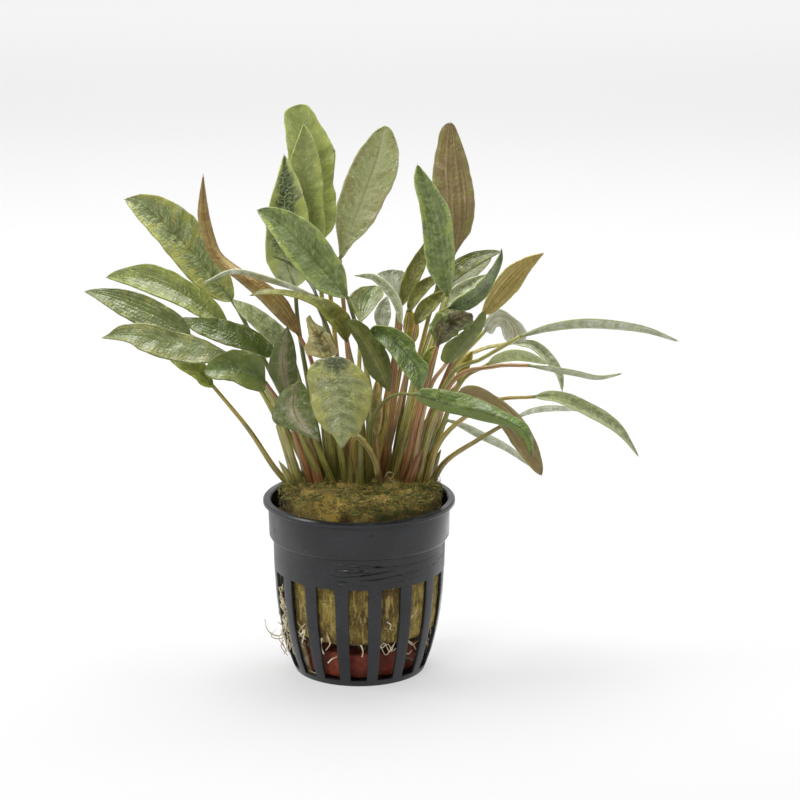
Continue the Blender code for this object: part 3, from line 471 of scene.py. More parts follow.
# in mm: foot is where the stalk leaves the crown, depth how far behind the axis neck and tip are, and stem,
# rib and both margins (sides) are (across, up) as the photograph shows them; where a blade has no margins,
# seen is how wide it shows; tilt, cup, wave and crease bend it, and torn roughens its edge
leaves = dict(
    leaf_01=dict(kind="quilted", shades="mottled", stalk="dark", foot=(-10, 11.1), depth=(14, 22),
        stem=[(-31, 100)], rib=[(-35.3, 108), (-42, 116.8), (-51, 127.2), (-60, 135.4), (-65.3, 137.4)],
        sides=([(-38.5, 108.2), (-42.5, 110), (-47.5, 114.5), (-52.5, 120.8), (-57.5, 127),
        (-62.5, 133.3)], [(-34.8, 111), (-36, 115.8), (-38.5, 120), (-41.5, 126.5), (-45, 131.5),
        (-47.5, 133.8), (-52.5, 137.3), (-60, 138.9)]), tilt=3.5, cup=-1.5),
    leaf_02=dict(kind="quilted", shades="meadow", foot=(-13.2, 8), depth=(4, 10), stem=[(-30, 90)],
        rib=[(-36.5, 99.5), (-41.5, 104.5), (-52, 111.6), (-63, 115.6), (-71, 115)], sides=([(-40, 101.6),
        (-45, 103.8), (-50, 106.7), (-60, 110.9), (-65, 113)], [(-37, 102.8), (-40, 108), (-45, 112),
        (-50, 115.7), (-55, 118), (-60, 119), (-68, 117)]), tilt=3.5, cup=-1),
    leaf_03=dict(kind="glossy", shades="sage", foot=(-16.4, 4.9), depth=(-3, -6), stem=[(-22.6, 72),
        (-32, 88)], rib=[(-47.6, 98.4), (-52, 101.4), (-60, 105.4), (-70, 109.4), (-77.2, 111)],
        sides=([(-52, 98), (-57, 99.4), (-62.5, 101.5), (-70, 106.2), (-75, 109.8)], [(-47.5, 100),
        (-50, 104), (-55, 107.5), (-60, 110), (-65, 111.5), (-70, 112), (-75, 111.7)]), tilt=3, cup=-1),
    leaf_04=dict(kind="quilted", shades="sage", foot=(-16.4, 1.8), depth=(-8, -16), stem=[(-24.4, 80)],
        rib=[(-33, 90.8), (-40, 94), (-50, 95.2), (-62, 98.2), (-72.7, 97.6)], sides=([(-37.5, 90.4),
        (-44, 90.3), (-48, 90.2), (-53.5, 91.2), (-57, 92.2), (-62, 94.2), (-64, 95.9), (-67.5, 97)],
        [(-38, 93.8), (-42, 96.3), (-46, 98), (-54, 100), (-58, 101.5), (-64, 101.8), (-68, 101),
        (-70.5, 98.8)]), tilt=3.5, cup=-1.2, wave=0.5),
    leaf_05=dict(kind="glossy", shades="moss", foot=(-13.2, 4.9), depth=(-2, 0), stem=[(-19, 80)],
        rib=[(-24.5, 92.4), (-30, 96.4), (-37, 99.2), (-44, 101.4), (-49.6, 103.6)], sides=([(-26, 91.8),
        (-30, 93.5), (-40, 96.5), (-47, 100)], [(-24, 95), (-26, 97.5), (-30, 100.2), (-34, 101.8),
        (-40, 103.3)]), tilt=2.5, cup=-1),
    leaf_06=dict(kind="quilted", shades="moss", stalk="red", foot=(-13.2, 1.8), depth=(-13, -20),
        stem=[(-20, 74)], rib=[(-26.4, 84.6), (-29.5, 87), (-34, 88.6), (-39.5, 89), (-43.8, 88)],
        sides=([(-27, 82), (-32, 83), (-36, 85.1), (-40, 85.5), (-43, 86.5)], [(-27, 91), (-30, 93.2),
        (-34, 94.2), (-38, 93.5), (-42, 91)]), tilt=3, cup=-1.5, wave=0.6),
    leaf_07=dict(kind="plain", shades="lime", stalk="olive", foot=(-19.6, 4.9), depth=(4, 2),
        stem=[(-24.2, 59.4), (-31.5, 71)], rib=[(-41.2, 83.4), (-44.6, 87.2), (-48.6, 90.6),
        (-52.6, 93.2), (-57, 95.6)], sides=([(-42, 83), (-45, 84), (-46, 85.5), (-50, 88.2),
        (-53.5, 91.2)], [(-41.5, 86), (-43.5, 90), (-47.5, 93.5), (-52, 95.5)]), tilt=2.5),
    leaf_08=dict(kind="centred", shades="rosy", foot=(-10, 1.8), depth=(-9, -11), stem=[(-16, 68)],
        rib=[(-19.6, 80.6), (-21, 86), (-21.6, 91), (-21, 96), (-20.1, 101)], sides=([(-22, 82.3),
        (-24.8, 86), (-25.8, 89), (-24, 95), (-22.5, 97.5)], [(-17.8, 83.5), (-17.5, 88), (-18.2, 96)]),
        tilt=0.5, cup=1.5),
    leaf_09=dict(kind="centred", shades="rosy", foot=(-6.8, 1.8), depth=(-16, -28), stem=[(-12.6, 68),
        (-16, 81)], rib=[(-17.4, 84.6), (-18.6, 81), (-18.4, 76), (-15.6, 71), (-11.2, 67.2)],
        sides=([(-19.5, 83.6), (-22, 81.5), (-24, 77.5), (-24.5, 73.3), (-22.5, 72), (-17.5, 70),
        (-12.5, 68)], [(-16, 84.5), (-13, 78.5), (-12.2, 75), (-11.5, 71)]), tilt=0.5, cup=2),
    leaf_10=dict(kind="barred", shades="broad", foot=(-3.6, 1.8), depth=(-20, -36), stem=[(-6, 70),
        (-7.4, 88)], rib=[(-7.2, 92), (-6.2, 88), (-5.4, 80.6), (-5.2, 73), (-4.8, 64.8)],
        sides=([(-11, 91.4), (-13, 90), (-14.5, 88), (-14.5, 85), (-14, 80.5), (-12, 74), (-9.5, 70.4),
        (-7.5, 69.4), (-6.5, 67.6)], [(-4, 91.8), (1, 88), (3.5, 83), (4, 80), (1.5, 73), (0, 69.8),
        (-2.5, 68.5)]), tilt=0.5, cup=3, wave=0.3),
    leaf_11=dict(kind="crumpled", shades="cream", foot=(-6.8, 4.9), depth=(-10, -11), stem=[(-8.4, 72)],
        rib=[(-8.8, 91), (-9.6, 94.6), (-11.2, 98.2), (-12.6, 101.6), (-13.8, 104.2)],
        sides=([(-13.5, 93), (-15, 95), (-14, 99), (-15, 102.5), (-14.5, 103.6)], [(-6, 93), (-8, 98.5),
        (-10, 100.5), (-12.5, 102)]), tilt=1, cup=2.5, wave=1.6, crease=4, torn=5),
    leaf_12=dict(kind="striped", shades="bronze", stalk="red", foot=(-6.8, 8), depth=(1, 8),
        stem=[(-12.6, 88)], rib=[(-16.8, 98.4), (-23.4, 106.6), (-32.2, 114.8), (-39.8, 120.6),
        (-42.9, 131), (-43.1, 144.6)], sides=([(-18.8, 99.6), (-22, 102.5), (-28.5, 109.4), (-35, 115.2),
        (-40.6, 119.5), (-43.2, 126), (-44.8, 132), (-44.4, 137), (-43.5, 142)], [(-16.6, 101),
        (-18, 104.5), (-20.4, 109), (-26, 113.5), (-32.5, 117.2), (-35, 119), (-38.7, 122.5),
        (-41.1, 130), (-42.1, 136), (-42.9, 142)]), tilt=1, cup=2),
    leaf_13=dict(kind="plain", shades="silver", stalk="dark", foot=(-0.4, 8), depth=(0, -5),
        stem=[(-6.4, 92)], rib=[(-12.4, 109.6), (-17, 111.6), (-25, 114.4), (-35, 116.8), (-43.6, 113.4)],
        seen=1.5, tilt=4.5, cup=-0.5),
    leaf_14=dict(kind="plain", shades="olive", stalk="red", foot=(-3.6, 4.9), depth=(-5, -12),
        stem=[(-1, 82)], rib=[(-3.2, 96.6), (-7.6, 103.6), (-13, 108.4), (-22, 110.8), (-30.7, 109.8)],
        sides=([(-4.4, 97.2), (-6, 99.5), (-9.5, 103.5), (-12.5, 107), (-20, 109.9), (-27, 110.2)],
        [(-1.8, 100), (-2, 103.5), (-4, 105.7), (-7.5, 108.3), (-12, 109.6), (-20, 111.4), (-27, 111.6)]),
        tilt=3.5, cup=-1),
    leaf_15=dict(kind="plain", shades="grey", foot=(-10, 4.9), depth=(-3, 3), stem=[(-16, 82)],
        rib=[(-19.4, 94.4), (-23, 98.4), (-27, 102), (-31, 105.2), (-35.6, 108.8)], sides=([(-20.8, 93.4),
        (-24, 95.3), (-30, 101.2), (-33.5, 104.8)], [(-19.2, 97), (-21, 100.5), (-25, 103.9),
        (-30, 107.2)]), tilt=2, cup=-0.8),
    leaf_16=dict(kind="quilted", shades="sunlit", stalk="olive", foot=(-3.6, 14.2), depth=(24, 34),
        stem=[(-6.4, 95)], rib=[(-9.6, 125.6), (-12.4, 134), (-13.6, 144), (-15.2, 154), (-16.6, 164)],
        sides=([(-12.6, 127), (-16.5, 133), (-18.8, 142), (-19.5, 152), (-20.3, 160), (-20, 162.6)],
        [(-9.4, 126.4), (-7, 129), (-6, 135), (-6.3, 139), (-6.8, 142.5), (-6.3, 149.5), (-7.5, 153.5),
        (-10, 157.8), (-13.2, 163.3), (-15.2, 164.2)]), tilt=1, cup=-1.5),
    leaf_17=dict(kind="quilted", shades="sunlit", foot=(-6.8, 14.2), depth=(19, 23), stem=[(-9, 95)],
        rib=[(-11.8, 124.6), (-13, 133), (-14.2, 141), (-14.8, 150), (-15, 158.8)], sides=([(-14.5, 128),
        (-17, 136), (-18.7, 147.5), (-17.5, 152)], [(-9.3, 128), (-9.8, 138), (-10, 145), (-12, 153.5)]),
        tilt=0.5, cup=-1.5),
    leaf_18=dict(kind="tiled", shades="tiled", stalk="dark", foot=(-10, 14.2), depth=(13, 16),
        stem=[(-16.4, 97)], rib=[(-17.8, 112), (-20.7, 121), (-21.2, 131), (-20.6, 141), (-20.5, 150.2)],
        sides=([(-22, 113.5), (-25.3, 118.5), (-26, 122), (-25.7, 130), (-24.7, 136), (-22.5, 143.5)],
        [(-14.5, 115), (-13, 124), (-14, 133), (-16, 141), (-18.5, 146.5)]), tilt=0.5, cup=-1.8),
    leaf_19=dict(kind="glossy", shades="wet", stalk="dark", foot=(2.8, 8), depth=(4, 6), stem=[(2.2, 88)],
        rib=[(-2.9, 109), (-8, 115.2), (-14.9, 123.4), (-21.8, 130.4), (-28.4, 134.4)],
        sides=([(-7, 109.6), (-12, 112), (-18.5, 119), (-23.5, 126.6), (-26, 130.4)], [(-3, 110.6),
        (-3.2, 113), (-4, 117.5), (-8, 124.5), (-13, 130.5), (-20, 134.3), (-25, 135.2)]), tilt=3,
        cup=-2),
    leaf_20=dict(kind="plain", shades="deep", stalk="dark", foot=(-3.6, 11.1), depth=(9, 9.5),
        stem=[(-7.6, 92)], rib=[(-11.4, 109), (-13.4, 113.4), (-16.4, 117.2), (-20, 119.6), (-24, 121.2)],
        seen=1, tilt=3.6),
    leaf_21=dict(kind="wet", shades="glassy", stalk="salmon", foot=(-0.4, 11.1), depth=(13, 20),
        stem=[(-3, 92)], rib=[(-5.2, 120.4), (-2.6, 127.4), (0.8, 136.6), (4.6, 147.4), (7.5, 158.2)],
        sides=([(-5.4, 123.6), (-6.3, 131), (-5.8, 136), (-2.5, 145.5), (0, 150.5), (4.6, 156.4)],
        [(-4.6, 120.2), (-1.5, 124.8), (1.5, 127.3), (5, 132), (7.5, 137), (10.2, 143), (11.3, 150),
        (9.7, 156.6)]), tilt=1, cup=-1.8),
    leaf_22=dict(kind="glossy", shades="wet", foot=(12.4, 4.9), depth=(-6, -2), stem=[(20.6, 88)],
        rib=[(25, 109.6), (23.9, 116), (22.3, 127), (19.5, 138), (16.5, 147.4)], sides=([(22.5, 112.5),
        (19.3, 118), (18.3, 127), (17.3, 135), (15.7, 142), (15.9, 145)], [(26, 111), (27, 118),
        (27, 123), (26, 132.5), (23.5, 138), (19, 144.4)]), tilt=1, cup=-2),
    leaf_23=dict(kind="striped", shades="khaki", stalk="red", foot=(12.4, 11.1), depth=(18, 26),
        stem=[(22, 96)], rib=[(26.4, 119.4), (26.8, 127), (26.4, 138), (25.8, 149), (25.8, 159.2)],
        sides=([(24, 121.5), (21.4, 130), (20.7, 143), (21.7, 151), (23.1, 157.4)], [(27, 121.5),
        (29.5, 125.5), (31.8, 129), (32.5, 137), (31.2, 145), (29, 152.5), (27, 157.8)]), tilt=0.5,
        cup=1.5),
    leaf_24=dict(kind="plain", shades="olive", stalk="red", foot=(2.8, 11.1), depth=(8, 11),
        stem=[(10, 92)], rib=[(11.8, 106.6), (13.4, 111), (15.4, 116), (17.8, 121), (20.6, 127.2)],
        seen=4.6),
    leaf_25=dict(kind="plain", shades="olive", stalk="olive", foot=(6, 11.1), depth=(4.6, 13),
        stem=[(12, 90)], rib=[(14.2, 105), (15.6, 109), (18, 112.2), (20.8, 114.4), (24.2, 116.6)],
        seen=3.6),
    leaf_26=dict(kind="plain", shades="olive", stalk="salmon", foot=(6, 8), depth=(1, 5),
        stem=[(13.2, 86)], rib=[(16.2, 101.6), (17.8, 104.8), (20, 107.4), (22.4, 109.4), (24.6, 111.2)],
        seen=4.6),
    leaf_27=dict(kind="plain", shades="shade", stalk="olive", foot=(9.2, 11.1), depth=(9, 17),
        stem=[(17, 92)], rib=[(21.6, 110.6), (24.6, 114.8), (29, 118.4), (34, 121), (40, 122.6)],
        seen=4.8, tilt=2),
    leaf_28=dict(kind="plain", shades="shade", foot=(12.4, 14.2), depth=(22, 36), stem=[(20, 92)],
        rib=[(24.6, 111), (27.6, 114.4), (30.6, 116.6), (34, 118.6), (37.4, 120.6)], seen=5, tilt=2),
    leaf_29=dict(kind="plain", shades="silver", stalk="pale", foot=(9.2, 8), depth=(3, 9),
        stem=[(18, 88)], rib=[(23.4, 104.8), (25.4, 108.4), (28.6, 111.4), (32.2, 113.8), (36, 116)],
        seen=3.6),
    leaf_30=dict(kind="glossy", shades="rain", foot=(9.2, 4.9), depth=(-11, -6), stem=[(15, 82),
        (21.6, 103)], rib=[(25.4, 106.2), (30, 107.8), (34.6, 111.2), (38, 116.6), (40.2, 123.4)],
        sides=([(27, 108.4), (30, 110.4), (33.6, 113), (37, 117.2), (39.3, 121)], [(27.5, 105.4),
        (31.6, 106), (36, 109.6), (39, 115.8), (40.4, 120)]), tilt=3),
    leaf_31=dict(kind="striped", shades="tan", stalk="red", foot=(12.4, 8), depth=(4, 9), stem=[(27, 92)],
        rib=[(34.6, 104.4), (37.2, 107.2), (41, 111.8), (46, 117.2), (52.1, 122.1)], sides=([(35.6, 108),
        (38.5, 114), (42.5, 118.5), (48, 121.2)], [(36.8, 104.4), (39.5, 106), (45, 111.5), (48, 116.6)]),
        tilt=1.5, cup=-0.8),
    leaf_32=dict(kind="crumpled", shades="dusk", stalk="red", foot=(11.6, 1.8), depth=(-14, -18),
        stem=[(19, 84)], rib=[(22.3, 95.2), (23.4, 98.2), (25.4, 101), (28.4, 103.4), (32, 104.6)],
        sides=([(20.8, 98), (20.2, 101.5), (23, 104.8), (28, 105.6)], [(26, 97.5), (31, 100.5),
        (32.3, 103)]), tilt=0.5, cup=3, wave=1.3, crease=5, torn=5),
    leaf_33=dict(kind="plain", shades="meadow", stalk="salmon", foot=(14, 1.8), depth=(-9, -9),
        stem=[(19.6, 81)], rib=[(24.8, 90.2), (27, 93.2), (30, 97), (33, 101), (35.3, 105.2)],
        sides=([(23.2, 91.5), (24.4, 95.5), (28, 98.4), (32, 102), (34.5, 104.6)], [(27, 91),
        (31.5, 95.3), (34.8, 100), (36, 104)]), tilt=1, cup=1),
    leaf_34=dict(kind="striped", shades="parched", foot=(15.6, 14.2), depth=(18, 26), stem=[(25, 86)],
        rib=[(35.6, 99.6), (37.6, 102.8), (40.6, 103.8), (43.4, 101.6), (44.6, 96.2)],
        sides=([(35.6, 102), (37.5, 105), (40, 106), (44, 103.4), (47.3, 99.5), (47, 96.8)],
        [(37.5, 98.8), (39, 100.8), (40.4, 100.4), (41, 98), (42.6, 96)]), tilt=1, cup=-1.5, wave=0.6,
        crease=3, torn=2.5),
    leaf_35=dict(kind="plain", shades="grey", stalk="green", foot=(15.6, 4.9), depth=(-4, 14),
        stem=[(25, 85), (35, 91.6)], rib=[(45.6, 98), (55, 100.8), (66, 101.8), (80, 100.2),
        (90.4, 96.6)], seen=2.6, tilt=-5),
    leaf_36=dict(kind="striped", shades="grey", stalk="salmon", foot=(15.6, 8), depth=(3, 16),
        stem=[(26, 84), (38, 89.2)], rib=[(48, 89.6), (56, 88.3), (62, 87.2), (68, 86), (74.6, 87.2)],
        seen=1.5, tilt=-3.6),
    leaf_37=dict(kind="plain", shades="pale", foot=(18.8, 8), depth=(8, 14), stem=[(28, 83)],
        rib=[(36.4, 89.8), (40, 91.8), (44.6, 92.6), (49, 91.8), (53.4, 90)], seen=3.2, tilt=-3),
    leaf_38=dict(kind="plain", shades="grey", stalk="olive", foot=(18.4, 1.8), depth=(-10, -2),
        stem=[(24, 68.6), (37.6, 78.8)], rib=[(49.6, 80.4), (56, 80.6), (65, 77.1), (74, 71),
        (79.8, 62.8)], sides=([(52, 79.6), (56, 79), (62.5, 76), (70, 72), (75, 68.3)], [(51.5, 81.7),
        (55, 82.2), (60, 81.3), (65, 79), (70, 76.3), (75, 71.8), (78.8, 65)]), tilt=3),
    leaf_39=dict(kind="plain", shades="silver", stalk="olive", foot=(20.4, 4.9), depth=(4, 14),
        stem=[(25, 61.6), (35, 68.4)], rib=[(44.6, 74.2), (49, 76.2), (54, 77), (59, 76.9), (64.4, 76.4)],
        seen=1.6, tilt=-3.6),
    leaf_40=dict(kind="folded", shades="rain", stalk="dark", foot=(2.8, 1.8), depth=(-24, -30),
        stem=[(3.4, 72), (9, 80.4)], rib=[(16.4, 81.2), (22, 79.2), (30, 76.8), (38, 75), (45, 72),
        (48.6, 67.5), (49.2, 62.6)], sides=([(17, 79.2), (20, 77.5), (26, 75.6), (30, 74.8), (35, 73.3),
        (43, 71.4), (47.2, 67.6), (48.6, 64)], [(18, 83), (25, 82.3), (30, 81.3), (37, 78.4), (41, 76.2),
        (47, 73), (49, 70), (49.6, 66)]), tilt=1, cup=2.5),
    leaf_41=dict(kind="striped", shades="khaki", foot=(16.2, 1.8), depth=(-8, -12), stem=[(22, 76)],
        rib=[(28.2, 81.6), (33, 80.6), (39.4, 77), (45.4, 69.4), (52.3, 57)], sides=([(30, 80),
        (36, 76.4), (41, 71), (44, 66), (47.5, 61.6), (50, 58.5)], [(29.5, 83.4), (34, 83.5), (38, 81.3),
        (42, 78.5), (47, 73.5), (51, 66), (52.6, 60)]), tilt=1.5, cup=-1),
    leaf_42=dict(kind="plain", shades="silver", stalk="dark", foot=(18.8, 11.1), depth=(14, 22),
        stem=[(20.6, 66)], rib=[(25, 73.6), (29, 72.2), (35, 69), (42.4, 65.2), (49.2, 59.8)], seen=2.2,
        tilt=-3.4),
    leaf_43=dict(kind="centred", shades="shade", stalk="olive", foot=(2.8, 4.9), depth=(-7, -11),
        stem=[(7.2, 70)], rib=[(8.6, 82.2), (7, 87), (4.8, 92), (1.4, 97.4), (-3.6, 102.6)],
        sides=([(6.4, 83.8), (2.5, 88), (0, 95), (-2, 99), (-4, 101.6)], [(9, 83), (9, 90), (7, 95),
        (3.9, 98.5), (2.5, 101), (-1, 103)]), tilt=0.5, cup=1.5),
    leaf_44=dict(kind="glossy", shades="rain", foot=(-0.4, 4.9), depth=(-2, -16), stem=[(3.6, 76),
        (1.8, 92)], rib=[(3.6, 99), (7.6, 98.6), (12, 94.8), (16.4, 89), (17.4, 82.2)], sides=([(4, 97.5),
        (8, 94.5), (11, 90), (14.5, 85.5), (16.5, 82.8)], [(2.9, 99.5), (5, 101.3), (10.5, 100.4),
        (13, 98.8), (15.9, 96.3), (16, 94), (18, 91.6), (19.8, 89.6), (19.4, 86)]), tilt=1.5, cup=-2),
    leaf_45=dict(kind="plain", shades="sage", stalk="pale", foot=(-0.4, 14.2), depth=(27, 40),
        stem=[(0, 82), (0.4, 97)], rib=[(0.6, 102.2), (1.4, 105), (2.4, 107.8), (3.4, 110.4),
        (4.4, 112.8)], sides=([(-0.8, 104.4), (-2.5, 109), (0, 112)], [(3, 104.5), (5, 107), (7, 110.5),
        (6.2, 112.2)])),
    leaf_46=dict(kind="wet", shades="misty", foot=(6, 14.2), depth=(16, 19), stem=[(9.8, 90)],
        rib=[(11.2, 106.4), (10.8, 109.4), (10.3, 112.2), (9.9, 114.8), (9.6, 117.4)], sides=([(9.8, 109),
        (7.5, 113), (5.3, 116), (7.5, 117)], [(12, 108.6), (12.5, 110.5), (14, 115), (12.8, 116.8)])),
    leaf_47=dict(kind="wet", shades="misty", stalk="olive", foot=(2.8, 14.2), depth=(11, 13),
        stem=[(6.6, 88)], rib=[(7, 99.6), (6.7, 102), (6.8, 104.6), (7.3, 107), (8, 109.6)], seen=4.6),
    leaf_48=dict(kind="plain", shades="silver", stalk="red", foot=(6, 4.9), depth=(-5, -9),
        stem=[(9.6, 82)], rib=[(11.9, 101.4), (11.1, 107), (8.4, 111.6), (4, 115.2), (-1.2, 115.6)],
        seen=2.6, tilt=1.5),
    leaf_49=dict(kind="plain", shades="straw", stalk="dark", foot=(9.2, 14.2), depth=(14, 13),
        stem=[(13.6, 86)], rib=[(14.9, 95.6), (15, 98.4), (14.8, 101.2), (14.5, 103.8), (14, 106.4)],
        seen=4.4),
    leaf_50=dict(kind="plain", shades="straw", stalk="salmon", foot=(15.6, 11.1), depth=(15, 13),
        stem=[(24, 78)], rib=[(28.2, 84.2), (28.9, 86.6), (29.8, 89), (31, 91.4), (32.2, 93.8)], seen=3),
    leaf_51=dict(kind="plain", shades="silver", stalk="pale", foot=(18.8, 14.2), depth=(34, 37),
        stem=[(27, 88), (34, 94)], rib=[(43.4, 96.2), (49.4, 95.6), (54, 91.6), (57, 87), (57.8, 81.9)],
        seen=3, tilt=1),
    leaf_52=dict(kind="plain", shades="lime", stalk="olive", foot=(9.2, 1.8), depth=(-5, -6),
        stem=[(15.4, 76)], rib=[(18.6, 86.6), (18.8, 89.4), (19.4, 91.8), (20.4, 93.8), (21.9, 95.2)],
        seen=2.6),
    sheath_01=dict(kind="plain", shades="tan", stalk="salmon", foot=(6, 1.8), depth=(-5, -6),
        stem=[(5.2, 62)], rib=[(5, 69), (4.9, 73), (4.9, 77), (5, 81.4), (5.1, 85.6)], seen=3.4,
        cup=-1.4),
)

# foliage colours: dark blotches, the skin itself, its pale flecks and veins, and the margin
# sunlit is a lighter set with painted light, for the leaves at the top; shade is a darker set with painted
# shade
bladeShades = dict(
    mottled=("#505828", "#748048", "#9ca470", "#a8a850"), meadow=("#586828", "#687030", "#788040", "#889038"),
    sage=("#607030", "#687040", "#808858", "#888848"), moss=("#485820", "#586828", "#707c40", "#707830"),
    lime=("#687020", "#889038", "#a8b058", "#b0b848"), rosy=("#384008", "#586020", "#908868", "#506020"),
    shade=("#404808", "#586018", "#808038", "#586018"), broad=("#303808", "#687040", "#989868", "#909040"),
    cream=("#685820", "#b8b068", "#e0e0a8", "#d0c088"), bronze=("#785018", "#988040", "#c0b888", "#886028"),
    silver=("#788048", "#b0b890", "#e0e0c8", "#c8d0a0"), olive=("#505010", "#686820", "#909048", "#787828"),
    grey=("#687040", "#909860", "#b8c090", "#b0b888"), sunlit=("#809048", "#909858", "#a8b070", "#b0b860"),
    tiled=("#405028", "#889060", "#c8d0a0", "#c0c868"), wet=("#586828", "#788850", "#a8b080", "#a0b058"),
    deep=("#283008", "#485018", "#687028", "#485010"), glassy=("#889048", "#a0a868", "#c0c090", "#989058"),
    khaki=("#706030", "#907c50", "#b0a078", "#908c48"), tan=("#807020", "#b09850", "#e0c890", "#a8a050"),
    dusk=("#302008", "#504018", "#889050", "#687830"), parched=("#908860", "#d8d8c8", "#e0e0d8", "#e0e0d8"),
    pale=("#90a048", "#a8b070", "#d0d8a0", "#c0c888"), rain=("#303808", "#587028", "#90a058", "#687830"),
    misty=("#708060", "#a0a888", "#d0d0b8", "#b8c0a0"), straw=("#888020", "#a89838", "#c8c050", "#c0b840"))
# how strong each mark of a blade is: reach is how far in the margin colour comes, dull how dull the skin is,
# and the others are blotches, patches of the margin colour, stripes, V-shaped bars, dark cells (tiles),
# painted glints as pale dots, a paler centre, a dark neck, one half in the margin colour, fine flecks and the
# dark midrib
patterns = dict(
    quilted=dict(reach=0.42, blotch=0.8, glintAmount=0.35, dull=0.32, patch=0.55),
    glossy=dict(reach=0.18, blotch=0.7, fine=0.5, stripes=0.5, glintAmount=0.5, dull=0.24),
    plain=dict(reach=0.26, blotch=0.8, stripes=0.6, glintAmount=0.2, dull=0.36, patch=0.4),
    centred=dict(reach=0.7, blotch=0.6, stripes=0.3, centre=0.9, glintAmount=0.2, dull=0.34),
    barred=dict(reach=0.4, blotch=0.0, fine=0.4, rib=0.12, bars=0.7, glintAmount=0.3, dull=0.4, patch=0.5,
                neck=1.0),
    tiled=dict(reach=0.4, blotch=0.6, tiles=1.0, glintAmount=0.25, dull=0.3),
    wet=dict(reach=0.3, blotch=0.6, bars=0.25, centre=0.6, glintAmount=1.0, dull=0.24),
    striped=dict(reach=0.2, blotch=0.3, fine=0.3, stripes=1.0, glintAmount=0.15, dull=0.36),
    folded=dict(reach=0.14, blotch=0.6, fine=0.5, glintAmount=0.3, dull=0.3, half=0.8),
    crumpled=dict(reach=0.3, blotch=1.0, stripes=0.6, glintAmount=0.3, dull=0.5),
)
stalkShades = dict(green=("#767832", "#c6c26a"), olive=("#80702e", "#ccb862"), red=("#84502e", "#c48e5c"),
                   salmon=("#9c7044", "#deb884"), dark=("#49521f", "#8c8c46"), pale=("#989448", "#dcd288"))


